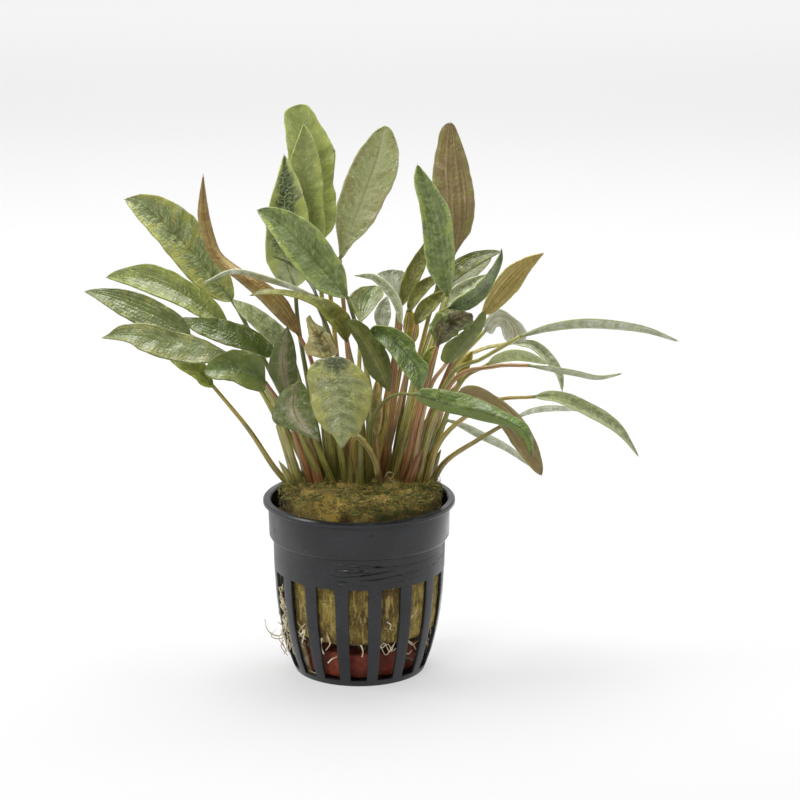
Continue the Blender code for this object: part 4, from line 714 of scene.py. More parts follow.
def bladeMaterial(name, shades, kind, seed):
    # a waxy skin under a film of water: soft grey sheen, small glints painted on as pale dots, blotches held
    # between slanting veins
    dark, mid, light, edge = bladeShades[shades]
    v = dict(stripes=0.15, bars=0.0, tiles=0.0, centre=0.0, half=0.0, patch=0.3, neck=0.0, fine=0.7, rib=0.55)
    v.update(patterns[kind])
    look, add = newMaterial("leaf blade, waxy and wet, " + name, Coat_Weight=0.16, Coat_Roughness=0.1,
                            Specular_IOR_Level=0.42)
    blade = add("UVMap", uv_map="blade")
    size = add("UVMap", uv_map="millimetres")
    lane = add("SeparateXYZ", blade)
    outward = add("SeparateXYZ", size)
    along, far = lane.node.outputs[1], outward.node.outputs[1]
    signed = add("Math", lane, 2.0, -1.0, **timesPlus)
    across = add("Math", signed, operation="ABSOLUTE")
    slant = add("Math", add("Math", outward, operation="ABSOLUTE"), -0.5, far, **timesPlus)
    flow = add("CombineXYZ", add("Math", outward, 0.7, **times), slant, seed * 3.7)
    blotch = add("TexNoise", flow, named={"Scale": 0.31, "Detail": 3.0, "Roughness": 0.6, "Distortion": 0.6})
    fine = add("TexNoise", flow, named={"Scale": 0.8, "Detail": 5.0, "Roughness": 0.6})
    gritAndGlints = add("TexNoise", size, named={"Scale": 1.8, "Detail": 2.0, "Roughness": 0.7})
    cells = add("TexVoronoi", flow, named={"Scale": 0.85, "Randomness": 0.85}, feature="DISTANCE_TO_EDGE")
    # the long veins arch from neck to tip at set shares of the half width, the cross veins slant 1.6 mm apart
    longLane = add("Math", across, 3.5, add("Math", blotch, 0.35, **times), **timesPlus)
    longVein = add("MapRange", add("Math", longLane, 0.5, **toAndFro), 0.0, 0.1, 1.0, 0.0, **smooth)
    crossLane = add("Math", slant, 0.62, add("Math", fine, 1.1, **times), **timesPlus)
    crossVein = add("MapRange", add("Math", crossLane, 0.5, **toAndFro), 0.0, 0.12, 1.0, 0.0, **smooth)
    stripe = add("TexWave", blade, named={"Scale": 2.3, "Distortion": 2.4, "Detail": 3.0, "Detail Scale": 2.0,
                                          "Phase Offset": seed * 1.3}, bands_direction="X", out=1)
    drawnOut = add("Mapping", blade, named={"Scale": (14.0, 1.3, 1.0), "Location": (seed * 1.7, 0, 0)})
    streak = add("TexNoise", drawnOut, named={"Scale": 1.0, "Detail": 4.0, "Roughness": 0.65})
    patch = add("TexNoise", add("Mapping", flow, named={"Location": (31.0, 17.0, 9.0)}),
                named={"Scale": 0.2, "Detail": 4.0, "Roughness": 0.6})
    layers = [(add("MapRange", blotch, 0.49, 0.59, **smooth), v["blotch"], dark),
              (add("MapRange", patch, 0.53, 0.62, **smooth), v["patch"], edge),
              (add("MapRange", fine, 0.47, 0.63, **smooth), v["fine"] * 0.8, dark),
              (add("MapRange", fine, 0.5, 0.34, **smooth), v["fine"], light)]
    if v["centre"]:
        inner = add("Math", blotch, 0.5, across, **timesPlus)
        layers.append((add("MapRange", inner, 0.75, 0.3, **smooth), v["centre"], light))
    if v["bars"]:
        bar = add("Math", slant, 0.3, add("Math", blotch, 0.8, **times), **timesPlus)
        bar = add("MapRange", add("Math", bar, 0.5, **toAndFro), 0.42, 0.02, **smooth)
        layers.append((bar, v["bars"] * 0.6, light))
    if v["tiles"]:
        tile = add("Math", add("MapRange", cells, 0.03, 0.14, **smooth),
                   add("MapRange", across, 0.8, 0.45, **smooth), **times)
        tile = add("Math", tile, add("MapRange", along, 0.2, 0.45, **smooth), **times)
        layers += [(add("MapRange", along, 0.5, 0.15, **smooth), 0.6, light), (tile, v["tiles"], dark)]
    layers += [(add("MapRange", streak, 0.5, 0.64, **smooth), v["stripes"] * 0.75, dark),
               (add("MapRange", streak, 0.46, 0.34, **smooth), v["stripes"] * 0.7, light),
               (add("MapRange", stripe, 0.8, 1.0, **smooth), v["stripes"] * 0.45, dark)]
    ragged = add("Math", blotch, 2.2, add("Math", across, 1.45, operation="SUBTRACT"), **timesPlus)
    ragged = add("Math", fine, 0.7, ragged, **timesPlus)
    layers.append((add("MapRange", ragged, 1.0 - v["reach"] * 1.5, 1.0, **smooth), 0.8, edge))
    if v["neck"]:
        neck = add("Math", blotch, 0.35, along, **timesPlus)
        layers.append((add("MapRange", neck, 0.4, 0.24, **smooth), v["neck"], dark))
    if v["half"]:
        layers.append((add("MapRange", signed, 0.1, -0.15, **smooth), v["half"], edge))
    # painted glints: pale dots, more of them towards the margins, stand for highlights on the water film
    paintedGlint = add("MapRange", gritAndGlints, 0.70 - v["glintAmount"] * 0.07, 0.74 - v["glintAmount"] * 0.07, **smooth)
    paintedGlint = add("Math", paintedGlint, add("MapRange", across, 0.2, 0.7, 0.35, 1.0), **times)
    layers += [(crossVein, 0.12, light), (longVein, 0.25, light),
               (add("MapRange", across, 0.07, 0.015, **smooth), v["rib"], dark),
               (add("MapRange", across, 0.93, 0.99, **smooth), 0.4, light),
               (add("MapRange", along, 0.93, 1.0, **smooth), 0.6, dark),
               (paintedGlint, v["glintAmount"] * 0.85, "#f0f2e4")]
    film = add("TexNoise", flow, named={"Scale": 0.45, "Detail": 3.0})
    quilt = add("Math", add("MapRange", cells, 0.0, 0.35), 0.35, **times)
    relief = add("Math", fine, 1.0, quilt, **timesPlus)
    for mask, strong in ((longVein, -0.4), (crossVein, -0.12), (stripe, v["stripes"] * 0.5), (gritAndGlints, 0.2)):
        relief = add("Math", mask, strong, relief, **timesPlus)
    dress(look, mid, layers, rough=add("MapRange", film, 0.4, 0.6, v["dull"] * 0.8, v["dull"] * 1.6),
          height=relief, depth=0.6, strength=0.42)
    return look


def stalkMaterial(name, shades):
    # smooth skin with strands under it: a narrow shine down its length, pinkish and green stretches, and
    # painted shade that darkens it low down near the crown
    look, add = newMaterial("leaf stalk, smooth and wet, " + name, Roughness=0.32, Coat_Weight=0.12,
                            Coat_Roughness=0.15)
    place = add("UVMap", uv_map="blade")
    cloud = add("TexNoise", add("TexCoord", out="Object"), named={"Scale": 140.0, "Detail": 3.0})
    high = add("SeparateXYZ", add("TexCoord", out="Object")).node.outputs[2]
    strand = add("TexNoise", add("Mapping", place, named={"Scale": (6.0, 0.35, 1.0)}),
                 named={"Scale": 2.0, "Detail": 3.0})
    dress(look, shades[0], [(add("MapRange", strand, 0.38, 0.6, **smooth), 1.0, shades[1]),
                            (add("MapRange", cloud, 0.52, 0.66, **smooth), 0.35, "#966a48"),
                            (add("MapRange", cloud, 0.46, 0.34, **smooth), 0.5, "#6a7038"),
                            # painted shade: darker towards the foot, where the stalks crowd together
                            (add("MapRange", high, 0.078, 0.057, **smooth), 0.32, "#3a3012")],
          height=strand, depth=0.5, strength=0.7)
    return look


stalkLooks = {name: stalkMaterial(name, shades) for name, shades in stalkShades.items()}
# each blade is a grid of rows along it and of half that many lanes on each side of the rib; sizes in mm
leafGrid = dict(along=30, half=6, thickness=0.34, quilt=0.2, ragged=0.22, stalkSteps=22, stalkSides=12,
                ribSides=10, stalkFoot=1.28, stalkTaper=0.74, ribThick=0.56, ribEnd=0.1, sunk=0.6, weld=0.02)


def flatPoints(pairs):
    return [Vector((x, 0.0, z)) for x, z in pairs]


def bladeSides(leaf, count):
    # both margins, seen from the front, as evenly spread points; a plain width gives a lance shape
    rib = evenly(flatPoints(leaf["rib"]), count)
    if "sides" in leaf:
        ends = flatPoints([leaf["rib"][0], leaf["rib"][-1]])
        return rib, [evenly([ends[0]] + flatPoints(side) + [ends[1]], count) for side in leaf["sides"]]
    both = ([], [])
    for i, point in enumerate(rib):
        t = i / (count - 1)
        tangent = (rib[min(i + 1, count - 1)] - rib[max(i - 1, 0)]).normalized()
        beside = Vector((-tangent.z, 0.0, tangent.x))
        half = leaf["seen"] / 2 * max(math.sin(math.pi * t ** 0.85) ** 0.75 if 0 < t < 1 else 0.0, 0.0)
        both[0].append(point - beside * half)
        both[1].append(point + beside * half)
    return rib, both


# how many beads of water lie on each leaf, and the beads' radii and how far they stand off the skin in mm
wetLeaves = dict(leaf_21=46, leaf_03=16, leaf_01=8, leaf_19=14, leaf_46=10, leaf_47=8, leaf_04=6, leaf_16=6,
                 leaf_23=3, leaf_18=8, leaf_34=4, leaf_45=4, leaf_10=4)
dropSizes = dict(small=0.16, large=0.42, lift=0.17, across=0.8, high=0.5)
dropPlaces = []


def bladePlaces(leaf, seed):
    # where each point of the blade's grid lies, in space and on the flat blade, and also the midrib
    rows, half = leafGrid["along"], leafGrid["half"]
    rib, sides = bladeSides(leaf, rows + 1)
    near, far = leaf["depth"]
    tilt, cup, wave = leaf.get("tilt", 0.5), leaf.get("cup", -0.8), leaf.get("wave", 0.15)
    places, ribLine, length = {}, [], 0.0
    for i in range(rows + 1):
        t = i / rows
        depth = near + (far - near) * t
        bulge = math.sin(math.pi * t) ** 0.7 if 0 < t < 1 else 0.0
        if i:
            length += (rib[i] - rib[i - 1]).length
        for k in range(-half, half + 1):
            s = k / half
            edge = sides[1 if s > 0 else 0][i]
            wide = (edge - rib[i]).length
            ruffle = wave * s * s * math.sin(t * 17.0 + seed * 2.1 + (1.3 if s > 0 else 0.0))
            ruffle += 0.25 * abs(s) ** 3 * math.sin(length * 1.5 + seed + (2.0 if s > 0 else 0.0))
            spot = Vector((wide * s * 0.32, (length - 0.5 * wide * abs(s)) * 0.32, seed * 7.3))
            puckers = leafGrid["quilt"] * leaf.get("crease", 1.0) * noise.fractal(spot, 0.9, 2.0, 3)
            jag = 1.0 + leafGrid["ragged"] * leaf.get("torn", 1.0) * noise.noise(spot * 2.2) * 0.35 * abs(s)
            flat = rib[i] + (edge - rib[i]) * abs(s) * jag
            back = depth + bulge * (tilt * s + cup * abs(s) ** 1.6 + ruffle + puckers * min(wide, 3.0) / 1.5)
            places[k, i] = (onSight(flat.x, flat.z, back) * mm, (wide * s, length))
        ribLine.append(onSight(rib[i].x, rib[i].z, depth))
    return places, ribLine, length


def bladeSheet(places):
    # a grid as long as the blade, each of its points put where the leaf has it
    rows, half = leafGrid["along"], leafGrid["half"]
    deselectAll()
    bpy.ops.mesh.primitive_grid_add(x_subdivisions=2 * half, y_subdivisions=rows, size=2.0, calc_uvs=True)
    sheet = bpy.context.object
    mesh = sheet.data
    mesh.uv_layers[0].name = "blade"
    size = mesh.uv_layers.new(name="millimetres")
    keys = [(round(vertex.co.x * half), round((vertex.co.y + 1) / 2 * rows)) for vertex in mesh.vertices]
    for loop, measure in zip(mesh.loops, size.data):
        measure.uv = places[keys[loop.vertex_index]][1]
    for vertex, key in zip(mesh.vertices, keys):
        vertex.co = places[key][0]
    bpy.ops.object.mode_set(mode="EDIT")
    bpy.ops.mesh.select_all(action="SELECT")
    bpy.ops.mesh.remove_doubles(threshold=leafGrid["weld"] * mm)
    bpy.ops.object.mode_set(mode="OBJECT")
    bpy.ops.object.shade_smooth()
    return sheet


def wetLeaf(name, places, seed):
    v = dropSizes
    rows, half = leafGrid["along"], leafGrid["half"]
    rng = random.Random(seed + 50)
    for n in range(wetLeaves.get(name, 0)):
        row, k = rng.randrange(2, rows - 1), rng.randrange(-half, half)
        a, b, c = places[k, row][0], places[k + 1, row][0], places[k, row + 1][0]
        facing = (b - a).cross(c - a).normalized()
        facing = -facing if facing.y > 0 else facing
        bead = a.lerp(b, rng.random()) / mm + facing * v["lift"]
        dropPlaces.append((bead, facing, rng.uniform(v["small"], v["large"])))


def leafStalk(name, leaf, ribLine, length, skins):
    # the stalk runs on into the blade as its midrib
    v = leafGrid
    x, y = leaf["foot"]
    path = [Vector((x, y, footZ - v["sunk"]))]
    for n, (across, up) in enumerate(leaf["stem"]):
        share = (n + 1) / (len(leaf["stem"]) + 1)
        path.append(onSight(across, up, y + (leaf["depth"][0] - y) * share))
    stalk = evenly(path + [ribLine[0]], v["stalkSteps"])
    whole = stalk + ribLine[1:]
    joint = len(stalk)
    radii = [v["stalkFoot"] - v["stalkTaper"] * (i / (joint - 1)) ** 0.3 for i in range(joint)]
    for i in range(joint, len(whole)):
        t = (i - joint + 1) / v["along"]
        neck = min(1.0, 0.5 + 0.5 * (1 - min(t * 5, 1)))
        radii.append(max(v["ribThick"] * (1 - t) ** 1.4 * neck, v["ribEnd"]))
    tube = bmesh.new()
    layer = tube.loops.layers.uv.new("blade")
    measures = tube.loops.layers.uv.new("millimetres")
    addTube(tube, whole[:joint], radii[:joint], v["stalkSides"], 1, 0.07, layer, 0.7)
    stalkFaces = len(tube.faces)
    addTube(tube, whole[joint - 1:], radii[joint - 1:], v["ribSides"], 0, 0.0, None, 0.7)
    for face in list(tube.faces)[stalkFaces:]:
        for loop in face.loops:
            reach = (loop.vert.co / mm - ribLine[0]).length
            loop[layer].uv = (0.5, min(reach / length, 1.0))
            loop[measures].uv = (0.0, reach)
    return newObject(name + "_stem", tube, skins)


def makeLeaf(name, leaf, seed):
    places, ribLine, length = bladePlaces(leaf, seed)
    sheet = bladeSheet(places)
    wetLeaf(name, places, seed)
    skins = [bladeMaterial(name, leaf["shades"], leaf["kind"], seed), stalkLooks[leaf.get("stalk", "green")]]
    for skin in skins:
        sheet.data.materials.append(skin)
    applyModifier(sheet, "SUBSURF", levels=1, render_levels=1)
    applyModifier(sheet, "SOLIDIFY", thickness=leafGrid["thickness"] * mm, offset=0.0, use_even_offset=False)
    stem = leafStalk(name, leaf, ribLine, length, skins)
    makeActive(sheet)
    stem.select_set(True)
    bpy.ops.object.join()
    sheet.name = name + "_grown"
    slotName = next(part["material_slot"] for part in frame["record"]["subparts"] if part["node"] == name)
    finish(sheet, name, slot=slotName)


for number, (name, leaf) in enumerate(leaves.items()):
    makeLeaf(name, leaf, number)
print("leaves done")


def makeDrops():
    # water left on the blades in flattened beads: clear, each with one sharp glint
    look = newMaterial("water, clear beads", Roughness=0.03, IOR=1.33, Transmission_Weight=1.0)[0]
    bm = bmesh.new()
    for place, facing, radius in dropPlaces:
        bead = bmesh.ops.create_icosphere(bm, subdivisions=2, radius=radius * mm)["verts"]
        turn = facing.to_track_quat("Z", "Y")
        for vert in bead:
            flat = Vector((vert.co.x, vert.co.y * dropSizes["across"], vert.co.z * dropSizes["high"]))
            vert.co = turn @ flat + place * mm
    for face in bm.faces:
        face.smooth = True
    finish(newObject("waterBeads", bm, [look]), slot="leaf_green")


# the bare stalk that bends over: its line is (across, up) as the photograph shows it and depth, all in mm
archSizes = dict(foot=(-0.4, 1.8), steps=30, thick=1.1, taper=0.35,
                 line=[(-1.6, 62.4, -0.3), (-1.5, 66.8, -2.4), (-0.6, 68.7, -3.3), (1.2, 67.4, -4.2),
                       (3.0, 64.8, -5.1), (4.6, 61.4, -6.0), (5.2, 57.0, -6.4)])


def narrowing(thick, taper, steps):
    # the radii of a root or stalk that thins evenly along its length
    return [thick - taper * i / (steps - 1) for i in range(steps)]


def makeArchStalk():
    v = archSizes
    points = [Vector((*v["foot"], footZ - leafGrid["sunk"]))] + [onSight(*place) for place in v["line"]]
    bm = bmesh.new()
    layer = bm.loops.layers.uv.new("blade")
    addTube(bm, evenly(points, v["steps"]), narrowing(v["thick"], v["taper"], v["steps"]), 10, 0, 0.05, layer)
    finish(newObject("archedStalk", bm, [stalkLooks["olive"]]), "stalk_01", slot="leaf_salmon")


makeDrops()
makeArchStalk()

# in mm; high is the radius where the block stands above the pot, and worn how far its upper edge has sunk
woolSizes = dict(x=0.4, bottom=12.8, shoulder=14.0, top=55.6, highest=56.8, gap=0.35, high=23.6, sides=220,
                 levels=34, topRings=34, worn=2.4, wornWide=7.0, lastLevel=38.0, strands=6400, onTop=4600)
# where the block is torn back from the pot's wall: degrees from the front (right is plus), width, depth in mm
woolDents = [(-70, 16, 2.6), (48, 26, 2.4), (-7, 5, 2.2), (20, 9, 0.9), (-38, 9, 1.0)]


def woolRadius(z):
    v = woolSizes
    return min(potRadius(min(z, v["lastLevel"])) - potSizes["wall"] - v["gap"], v["high"])


# where each stain, growth and painted shade on the wool fades in along an axis, from and to in mm
woolZones = dict(crown=("z", 47.5, 51.5), blockLeft=("x", -11.7, -11.0), blockRight=("x", -3.4, -4.1),
                 blockFront=("y", -12.0, -16.0), blockFoot=("z", 43.0, 45.0), paintedShadeTop=("z", 53.5, 48.0),
                 paintedShadeFoot=("z", 40.0, 45.0), side=("z", 44.0, 40.0), stainLeft=("x", -4.5, -1.5),
                 stainRight=("x", 13.5, 10.5), paintedShadeLeft=("x", -19.5, -21.2))


def woolMaterial():
    # spun mineral fibre, wet and overgrown: matt, ochre where clean, moss green and brown on top, with
    # painted shade round the rim and at the far left
    look, add = newMaterial("rock wool, spun mineral fibre, wet and overgrown", Roughness=0.85)
    place = add("TexCoord", out="Object")
    broad = add("TexNoise", place, named={"Scale": 130.0, "Detail": 4.0, "Roughness": 0.6})
    patch = add("TexNoise", add("Mapping", place, named={"Location": (0.3, 0.1, 0.7)}),
                named={"Scale": 85.0, "Detail": 3.0})
    tangle = add("TexNoise", place, named={"Scale": 800.0, "Detail": 5.0, "Roughness": 0.7,
                                           "Distortion": 3.0})
    torn = add("Math", add("Math", broad, 0.5, operation="SUBTRACT"), 0.012, **times)
    axes = add("SeparateXYZ", place).node.outputs
    axes = dict(x=add("Math", axes[0], torn, **plus), y=axes[1], z=axes[2])
    zone = {name: add("MapRange", axes[axis], low * mm, high * mm, **smooth)
            for name, (axis, low, high) in woolZones.items()}
    side, crown = zone["side"], zone["crown"]
    block = zone["blockLeft"]
    for mask in (zone["blockRight"], zone["blockFront"], zone["blockFoot"]):
        block = add("Math", block, mask, **times)
    # on the sides the fibres hang downwards, and the middle is stained brown
    hanging = add("TexNoise", add("Mapping", place, named={"Scale": (1.0, 1.0, 0.22)}),
                  named={"Scale": 900.0, "Detail": 3.0, "Distortion": 1.0})
    stain = zone["stainLeft"]
    for mask in (zone["stainRight"], add("MapRange", patch, 0.36, 0.56, **smooth), side):
        stain = add("Math", stain, mask, **times)
    layers = [(add("MapRange", tangle, 0.44, 0.62, **smooth), 0.85, "#e0c56e"),
              (add("MapRange", broad, 0.47, 0.6, **smooth), 0.75, "#76602a"),
              (add("MapRange", patch, 0.55, 0.65, **smooth), 0.7, "#5c4a20"),
              (add("Math", crown, add("MapRange", broad, 0.4, 0.58, **smooth), **times), 0.6, "#7a6224"),
              (add("Math", crown, add("MapRange", patch, 0.52, 0.6, **smooth), **times), 0.7, "#66702e"),
              (stain, 0.75, "#644a1e"),
              (add("Math", side, add("MapRange", hanging, 0.5, 0.62, **smooth), **times), 0.6, "#ecd07a"),
              (add("Math", side, add("MapRange", hanging, 0.44, 0.32, **smooth), **times), 0.45, "#5a481c"),
              # painted shade: darker in a band round the pot's rim
              (add("Math", zone["paintedShadeTop"], zone["paintedShadeFoot"], **times), 0.7, "#3c2f14"),
              (block, 0.8, "#d2b04e"),
              (add("MapRange", tangle, 0.45, 0.33, **smooth), 0.8, "#3a2e12"),
              # painted shade: near black at the far left, inside the leftmost slot
              (zone["paintedShadeLeft"], 0.85, "#1c160c")]
    relief = add("Math", broad, 0.6, add("Math", hanging, side, **times), **timesPlus)
    dress(look, "#b49a44", layers, height=add("Math", relief, tangle, **plus), depth=1.4, strength=1.0)
    return look


def makeWool(look):
    v = woolSizes
    low = v["shoulder"]
    profile = [(15.0, v["bottom"]), (woolRadius(v["bottom"]) - 1.2, v["bottom"]), (woolRadius(low), low)]
    reach = v["top"] - 0.7 - low
    levels = [low + reach * i / v["levels"] for i in range(1, v["levels"])]
    profile += [(woolRadius(z), z) for z in levels]
    profile += [(v["high"] - 0.2, v["top"] - 0.5)]
    profile += [(v["high"] * (1 - i / (v["topRings"] + 1)) - 0.1, v["top"]) for i in range(1, v["topRings"])]
    plug = turned("woolPlug", profile, v["sides"], (v["x"], 0.0))
    bpy.ops.object.mode_set(mode="OBJECT")
    for vertex in plug.data.vertices:
        p = vertex.co / mm
        out = Vector((p.x - v["x"], p.y, 0.0))
        way = math.degrees(math.atan2(out.x, -out.y))
        rough = noise.fractal(p * 0.3, 0.8, 2.0, 4) * 0.8 + noise.noise(p * 1.3) * 0.35
        share = min(max((p.z - 44.0) / 5.0, 0.0), 1.0) * min(out.length / v["high"], 1.0) ** 6
        torn = sum(deep * math.exp(-((way - at) / wide) ** 2) for at, wide, deep in woolDents)
        if out.length > 1.0:
            p -= out.normalized() * (torn * share + max(rough, 0.0) * 0.5 * (0.4 + share) + 0.1)
        # the block's upper edge is worn round
        inward = p.z - 48.0 if p.z < v["top"] - 0.8 else out.length - v["high"] + v["wornWide"]
        worn = max(inward / v["wornWide"], 0.0) ** 2
        if out.length > 1.0:
            p -= out.normalized() * 1.2 * worn
        isTop = p.z > v["top"] - 1.0
        p.z -= v["worn"] * worn
        if isTop:
            p.z += noise.noise(p * 0.16) * 1.5 + rough * 0.8 - 0.8
            p.z = min(p.z, v["highest"])
        vertex.co = p * mm
    makeActive(plug)
    bpy.ops.object.shade_smooth()
    plug.data.materials.append(look)
    finish(plug, "rockwool", slot="rockwool_fibre")


def strandMaterial(name, first, second):
    # fine threads that catch the light one by one: matt, each a little other in shade
    look, add = newMaterial("rock wool strands, " + name, Roughness=0.8)
    spot = add("TexNoise", add("TexCoord", out="Object"), named={"Scale": 700.0, "Detail": 2.0})
    dress(look, first, [(add("MapRange", spot, 0.42, 0.58, **smooth), 1.0, second)])
    return look


def makeFibres(looks):
    # loose strands on the wool, each a bent three-sided sliver: lifted along the top, lying flat on the sides
    rng = random.Random(7)
    v = woolSizes
    bm = bmesh.new()
    for n in range(v["strands"]):
        turn = rng.uniform(0, math.tau)
        around = Vector((math.cos(turn), math.sin(turn), 0))
        if n < v["onTop"]:
            start = around * v["high"] * math.sqrt(rng.uniform(0.02, 1.0)) * 0.97
            worn = max((start.length - v["high"] + v["wornWide"]) / v["wornWide"], 0.0) ** 2
            level = v["top"] - 0.6 - v["worn"] * worn + noise.noise(start * 0.16) * 1.5
            start += Vector((v["x"], 0.0, level))
            way = Vector((rng.uniform(-1, 1), rng.uniform(-1, 1), rng.uniform(-0.1, 0.55))).normalized()
        else:
            z = rng.uniform(14.0, 54.0)
            start = around * (woolRadius(z) - 0.25) + Vector((v["x"], 0.0, z))
            beside = Vector((-around.y, around.x, 0))
            way = (beside * rng.uniform(-1, 1) + Vector((0, 0, 1)) * rng.uniform(-1, 1)).normalized()
        length = rng.uniform(0.8, 2.6)
        bend = Vector((rng.uniform(-1, 1), rng.uniform(-1, 1), rng.uniform(-1.0, 0.2))) * 0.6
        points = [start + way * length * t + bend * length * t * t for t in (0, 0.5, 1.0)]
        for point in points:
            flat = Vector((point.x - v["x"], point.y))
            limit = woolRadius(point.z) + 0.15
            if flat.length > limit:
                point.xy = flat.normalized() * limit + Vector((v["x"], 0))
        addTube(bm, points, [0.13, 0.11, 0.04], 3, rng.choice((0, 1)))
    finish(newObject("woolStrands", bm, looks), slot="rockwool_fibre")


# (radius, height) over the weight's outside, and how uneven it is, mm
claySizes = dict(sides=96, uneven=0.25, profile=[(8, 1.5), (15.9, 1.5), (16.3, 1.7), (16.5, 2.2), (16.5, 4.5),
                                                 (16.5, 8.2), (16.3, 8.7), (15.9, 8.9), (12, 8.9), (8, 8.9)])


def makeClay():
    # terracotta: matt brick red, sandy, darker where it stays wet
    look, add = newMaterial("terracotta, fired, unglazed and damp", Roughness=0.7)
    place = add("TexCoord", out="Object")
    grain = add("TexNoise", place, named={"Scale": 500.0, "Detail": 5.0})
    damp = add("TexNoise", place, named={"Scale": 120.0, "Detail": 2.0})
    dress(look, "#7c3420", [(add("MapRange", grain, 0.35, 0.7, **smooth), 0.8, "#a44a30"),
                            (add("MapRange", damp, 0.5, 0.66, **smooth), 0.6, "#4e2214")],
          height=grain, depth=0.5, strength=0.7)
    disc = turned("clayWeight", claySizes["profile"], claySizes["sides"])
    bpy.ops.object.mode_set(mode="OBJECT")
    for vertex in disc.data.vertices:
        p = vertex.co / mm
        out = Vector((p.x, p.y, 0)).normalized()
        vertex.co = (p + out * noise.noise(p * 0.6) * claySizes["uneven"]) * mm
    makeActive(disc)
    bpy.ops.object.shade_smooth_by_angle(angle=math.radians(50))
    disc.data.materials.append(look)
    finish(disc, "clay_disc", slot="fired_clay")


# stubs come first and the rest are tall sheaths; where they stand on the crown, mm
crownSizes = dict(pieces=96, stubs=52, left=-19.0, right=20.5, front=-0.5, back=13.5, foot=51.6, steps=9)


def makeCrown():
    # stubs of old leaves and the flattened sheaths that wrap the stalks
    v = crownSizes
    rng = random.Random(11)
    kinds = ["pale", "green", "olive", "salmon", "red"]
    bm = bmesh.new()
    layer = bm.loops.layers.uv.new("blade")
    for n in range(v["pieces"]):
        tall = n >= v["stubs"]
        x, y = rng.uniform(v["left"], v["right"]), rng.uniform(v["front"], v["back"])
        high = rng.uniform(9.0, 24.0) if tall else rng.uniform(2.0, 8.0)
        sideways = x * (0.28 if tall else 0.1) * high / 14.0 + rng.uniform(-1.0, 1.0)
        lean = Vector((sideways, rng.uniform(-1.5, 0.5), 0))
        start = Vector((x, y, v["foot"]))
        path = [start, start + Vector((0, 0, high * 0.5)) + lean * 0.4, start + Vector((0, 0, high)) + lean]
        wide = rng.uniform(1.0, 1.7) if tall else rng.uniform(0.7, 1.3)
        last = v["steps"] - 1
        radii = [wide * max(1 - 0.95 * (k / last) ** 2.5, 0.08) for k in range(v["steps"])]
        kind = rng.choice((0, 0, 1, 1, 2, 2, 3, 4))
        addTube(bm, evenly(path, v["steps"]), radii, 10, kind, 0.12, layer, 0.45)
    finish(newObject("crownStubs", bm, [stalkLooks[kind] for kind in kinds]), "crown", slot="rhizome")


wool = woolMaterial()
makeWool(wool)
makeFibres([strandMaterial("ochre", "#6c5a28", "#b49c50"), strandMaterial("mossy", "#465222", "#7a8038")])
makeClay()
makeCrown()
print("wool and crown done")

# roots seen through the slots and on the wool: how thick they are in mm, and points of the photograph
rootLines = [
    (0.16, [(279, 588), (283, 600), (280, 612), (285, 622), (281, 634)]),
    (0.18, [(284, 598), (279, 612), (286, 626), (282, 640), (287, 652)]),
    (0.2, [(281, 606), (287, 618), (282, 630), (288, 642), (284, 654)]),
    (0.15, [(278, 622), (284, 628), (279, 638), (285, 648)]),
    (0.16, [(287, 610), (282, 620), (287, 634), (290, 648)]),
    (0.17, [(280, 630), (286, 636), (281, 646), (288, 656)]), (0.14, [(283, 584), (280, 598), (284, 606)]),
    (1.5, [(299, 636), (303, 650), (307, 664), (311, 674)]),
    (0.3, [(296, 628), (301, 634), (305, 630), (302, 644)]),
    (0.16, [(297, 622), (303, 630), (298, 640), (304, 648)]), (0.15, [(305, 624), (299, 632), (306, 640)]),
    (0.32, [(322, 638), (321, 646), (324, 654)]), (0.24, [(328, 636), (330, 644), (326, 650)]),
    (0.24, [(328, 663), (332, 659), (337, 657)]), (0.3, [(361, 645), (363, 651), (362, 657)]),
    (0.2, [(387, 622), (391, 625), (390, 629), (394, 630)]),
    (0.15, [(376, 640), (381, 648), (388, 644), (392, 651), (396, 648)]),
    (0.15, [(378, 652), (384, 643), (390, 652), (395, 642)]), (0.14, [(380, 645), (386, 655), (393, 645)]),
    (0.22, [(417, 610), (411, 617), (404, 622), (404, 635)]),
    (0.15, [(407, 638), (412, 645), (418, 641), (420, 648)]),
    (0.14, [(404, 646), (411, 642), (416, 650)]), (0.15, [(403, 650), (408, 654), (412, 650)]),
    (0.35, [(424, 636), (427, 645), (425, 656)]), (0.15, [(420, 628), (425, 634), (429, 640)]),
    (0.13, [(385, 477), (389, 472), (394, 475), (390, 480), (397, 483)]),
]


def rootMaterial(name, first, second):
    # live root: waxy and pale, faintly see-through, with brown stretches
    look, add = newMaterial("plant root, " + name, Roughness=0.42)
    cloud = add("TexNoise", add("TexCoord", out="Object"), named={"Scale": 300.0, "Detail": 3.0})
    dress(look, first, [(add("MapRange", cloud, 0.35, 0.6, **smooth), 1.0, second)], height=cloud, depth=0.3)
    return look


def behindSlot(px, py, inset):
    # the point inside the pot's wall, inset mm from its outside, that the photograph shows at (px, py)
    depth = 0.0
    for n in range(3):
        point = pixelPoint(px, py, depth)
        radius = potRadius(min(max(point.z, 1.0), 38.0)) - inset
        across = min(abs(point.x), radius * 0.985)
        depth = -math.sqrt(radius * radius - across * across)
    return pixelPoint(px, py, depth)


# the root out of the left slot and its branch, in mm; how many roots the tangle and the mat have, and how far
# the mat spreads in radians; the photograph's row where slots begin, and the column right of the first one
rootSizes = dict(out=[(-16.6, 0.4, 10.9), (-20.4, 0.0, 10.3), (-23.8, -0.8, 9.0), (-26.6, -1.6, 11.0),
                      (-27.4, -2.0, 14.6)], branch=[(-25.6, -2.4, 9.6), (-24.0, -3.2, 12.0)],
                 branchOff=(0.4, -0.6, -0.7), tangle=34, mat=90, spread=0.5, slotTop=500, leftSlot=292)


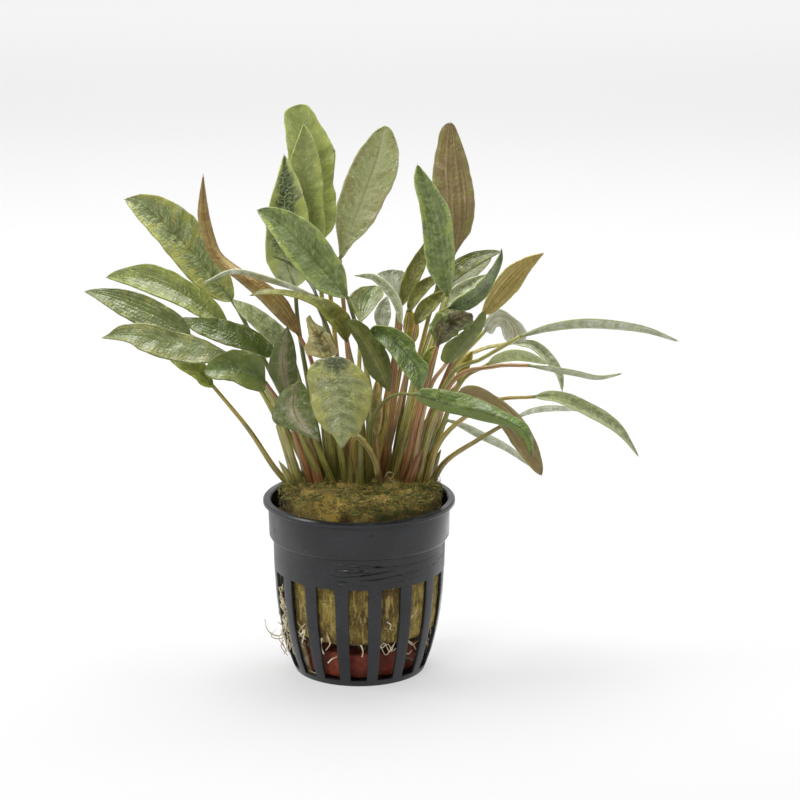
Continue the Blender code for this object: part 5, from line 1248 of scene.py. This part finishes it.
def makeRootOut(fresh):
    v = rootSizes
    out = [Vector(point) for point in v["out"]]
    bm = bmesh.new()
    addTube(bm, evenly(out, 30), narrowing(0.3, 0.18, 30), 8)
    branch = [out[1]] + [point + Vector(v["branchOff"]) for point in out[1:3]]
    branch += [Vector(point) for point in v["branch"]]
    addTube(bm, evenly(branch, 20), narrowing(0.2, 0.1, 20), 6)
    finish(newObject("rootOut", bm, [fresh]), "root_01", slot="root_white")


def seenRoots(bm):
    v = rootSizes
    for width, strand in rootLines:
        points = []
        for px, py in strand:
            inset = 0.2 if px < v["leftSlot"] else 0.9 + width
            points.append(behindSlot(px, py, inset) if py > v["slotTop"] else pixelPoint(px, py, -3.0))
        addTube(bm, evenly(points, 18), [width * (1 - 0.35 * k / 17) for k in range(18)], 7)


def tangledRoots(bm, rng):
    # the tangle that fills the leftmost slot
    for n in range(rootSizes["tangle"]):
        right, py = rng.uniform(1.5, 9.0), rng.uniform(583.0, 645.0)
        points = []
        for step in range(6):
            # the slot leans inwards as the pot narrows
            slotEdge = 277.0 + 0.0027 * max(py - 590.0, 0.0) ** 2
            points.append(behindSlot(slotEdge + right, py, rng.uniform(0.3, 1.4)))
            right = min(max(right + rng.uniform(-4.0, 4.0), 1.5), 10.0)
            py += rng.uniform(-2.0, 8.0)
        addTube(bm, evenly(points, 20), [rng.uniform(0.1, 0.19)] * 20, 5)


def oldRoots(bm, rng):
    # the mat of old roots at both sides of the clay weight
    spread = rootSizes["spread"]
    for n in range(rootSizes["mat"]):
        turn, z = rng.uniform(-spread, spread) + (math.pi if n % 2 else 0.0), rng.uniform(3.0, 15.0)
        points = []
        for step in range(5):
            radius = min(rng.uniform(17.2, 20.6), potRadius(max(z, 1.5)) - 1.3)
            points.append(Vector((radius * math.cos(turn), radius * math.sin(turn), min(max(z, 2.0), 15.5))))
            turn += rng.uniform(-0.16, 0.2)
            z += rng.uniform(-3.2, 2.6)
        addTube(bm, evenly(points, 16), [rng.uniform(0.14, 0.34)] * 16, 5, 0 if rng.random() < 0.14 else 1)


def makeRoots():
    fresh = rootMaterial("live and damp", "#b29e72", "#e6dcbe")
    old = rootMaterial("old and brown", "#2e2010", "#6a5230")
    makeRootOut(fresh)
    bm = bmesh.new()
    rng = random.Random(3)
    seenRoots(bm)
    tangledRoots(bm, rng)
    oldRoots(bm, rng)
    finish(newObject("rootsInside", bm, [fresh, old]), slot="root_white")


makeRoots()
print("roots done")
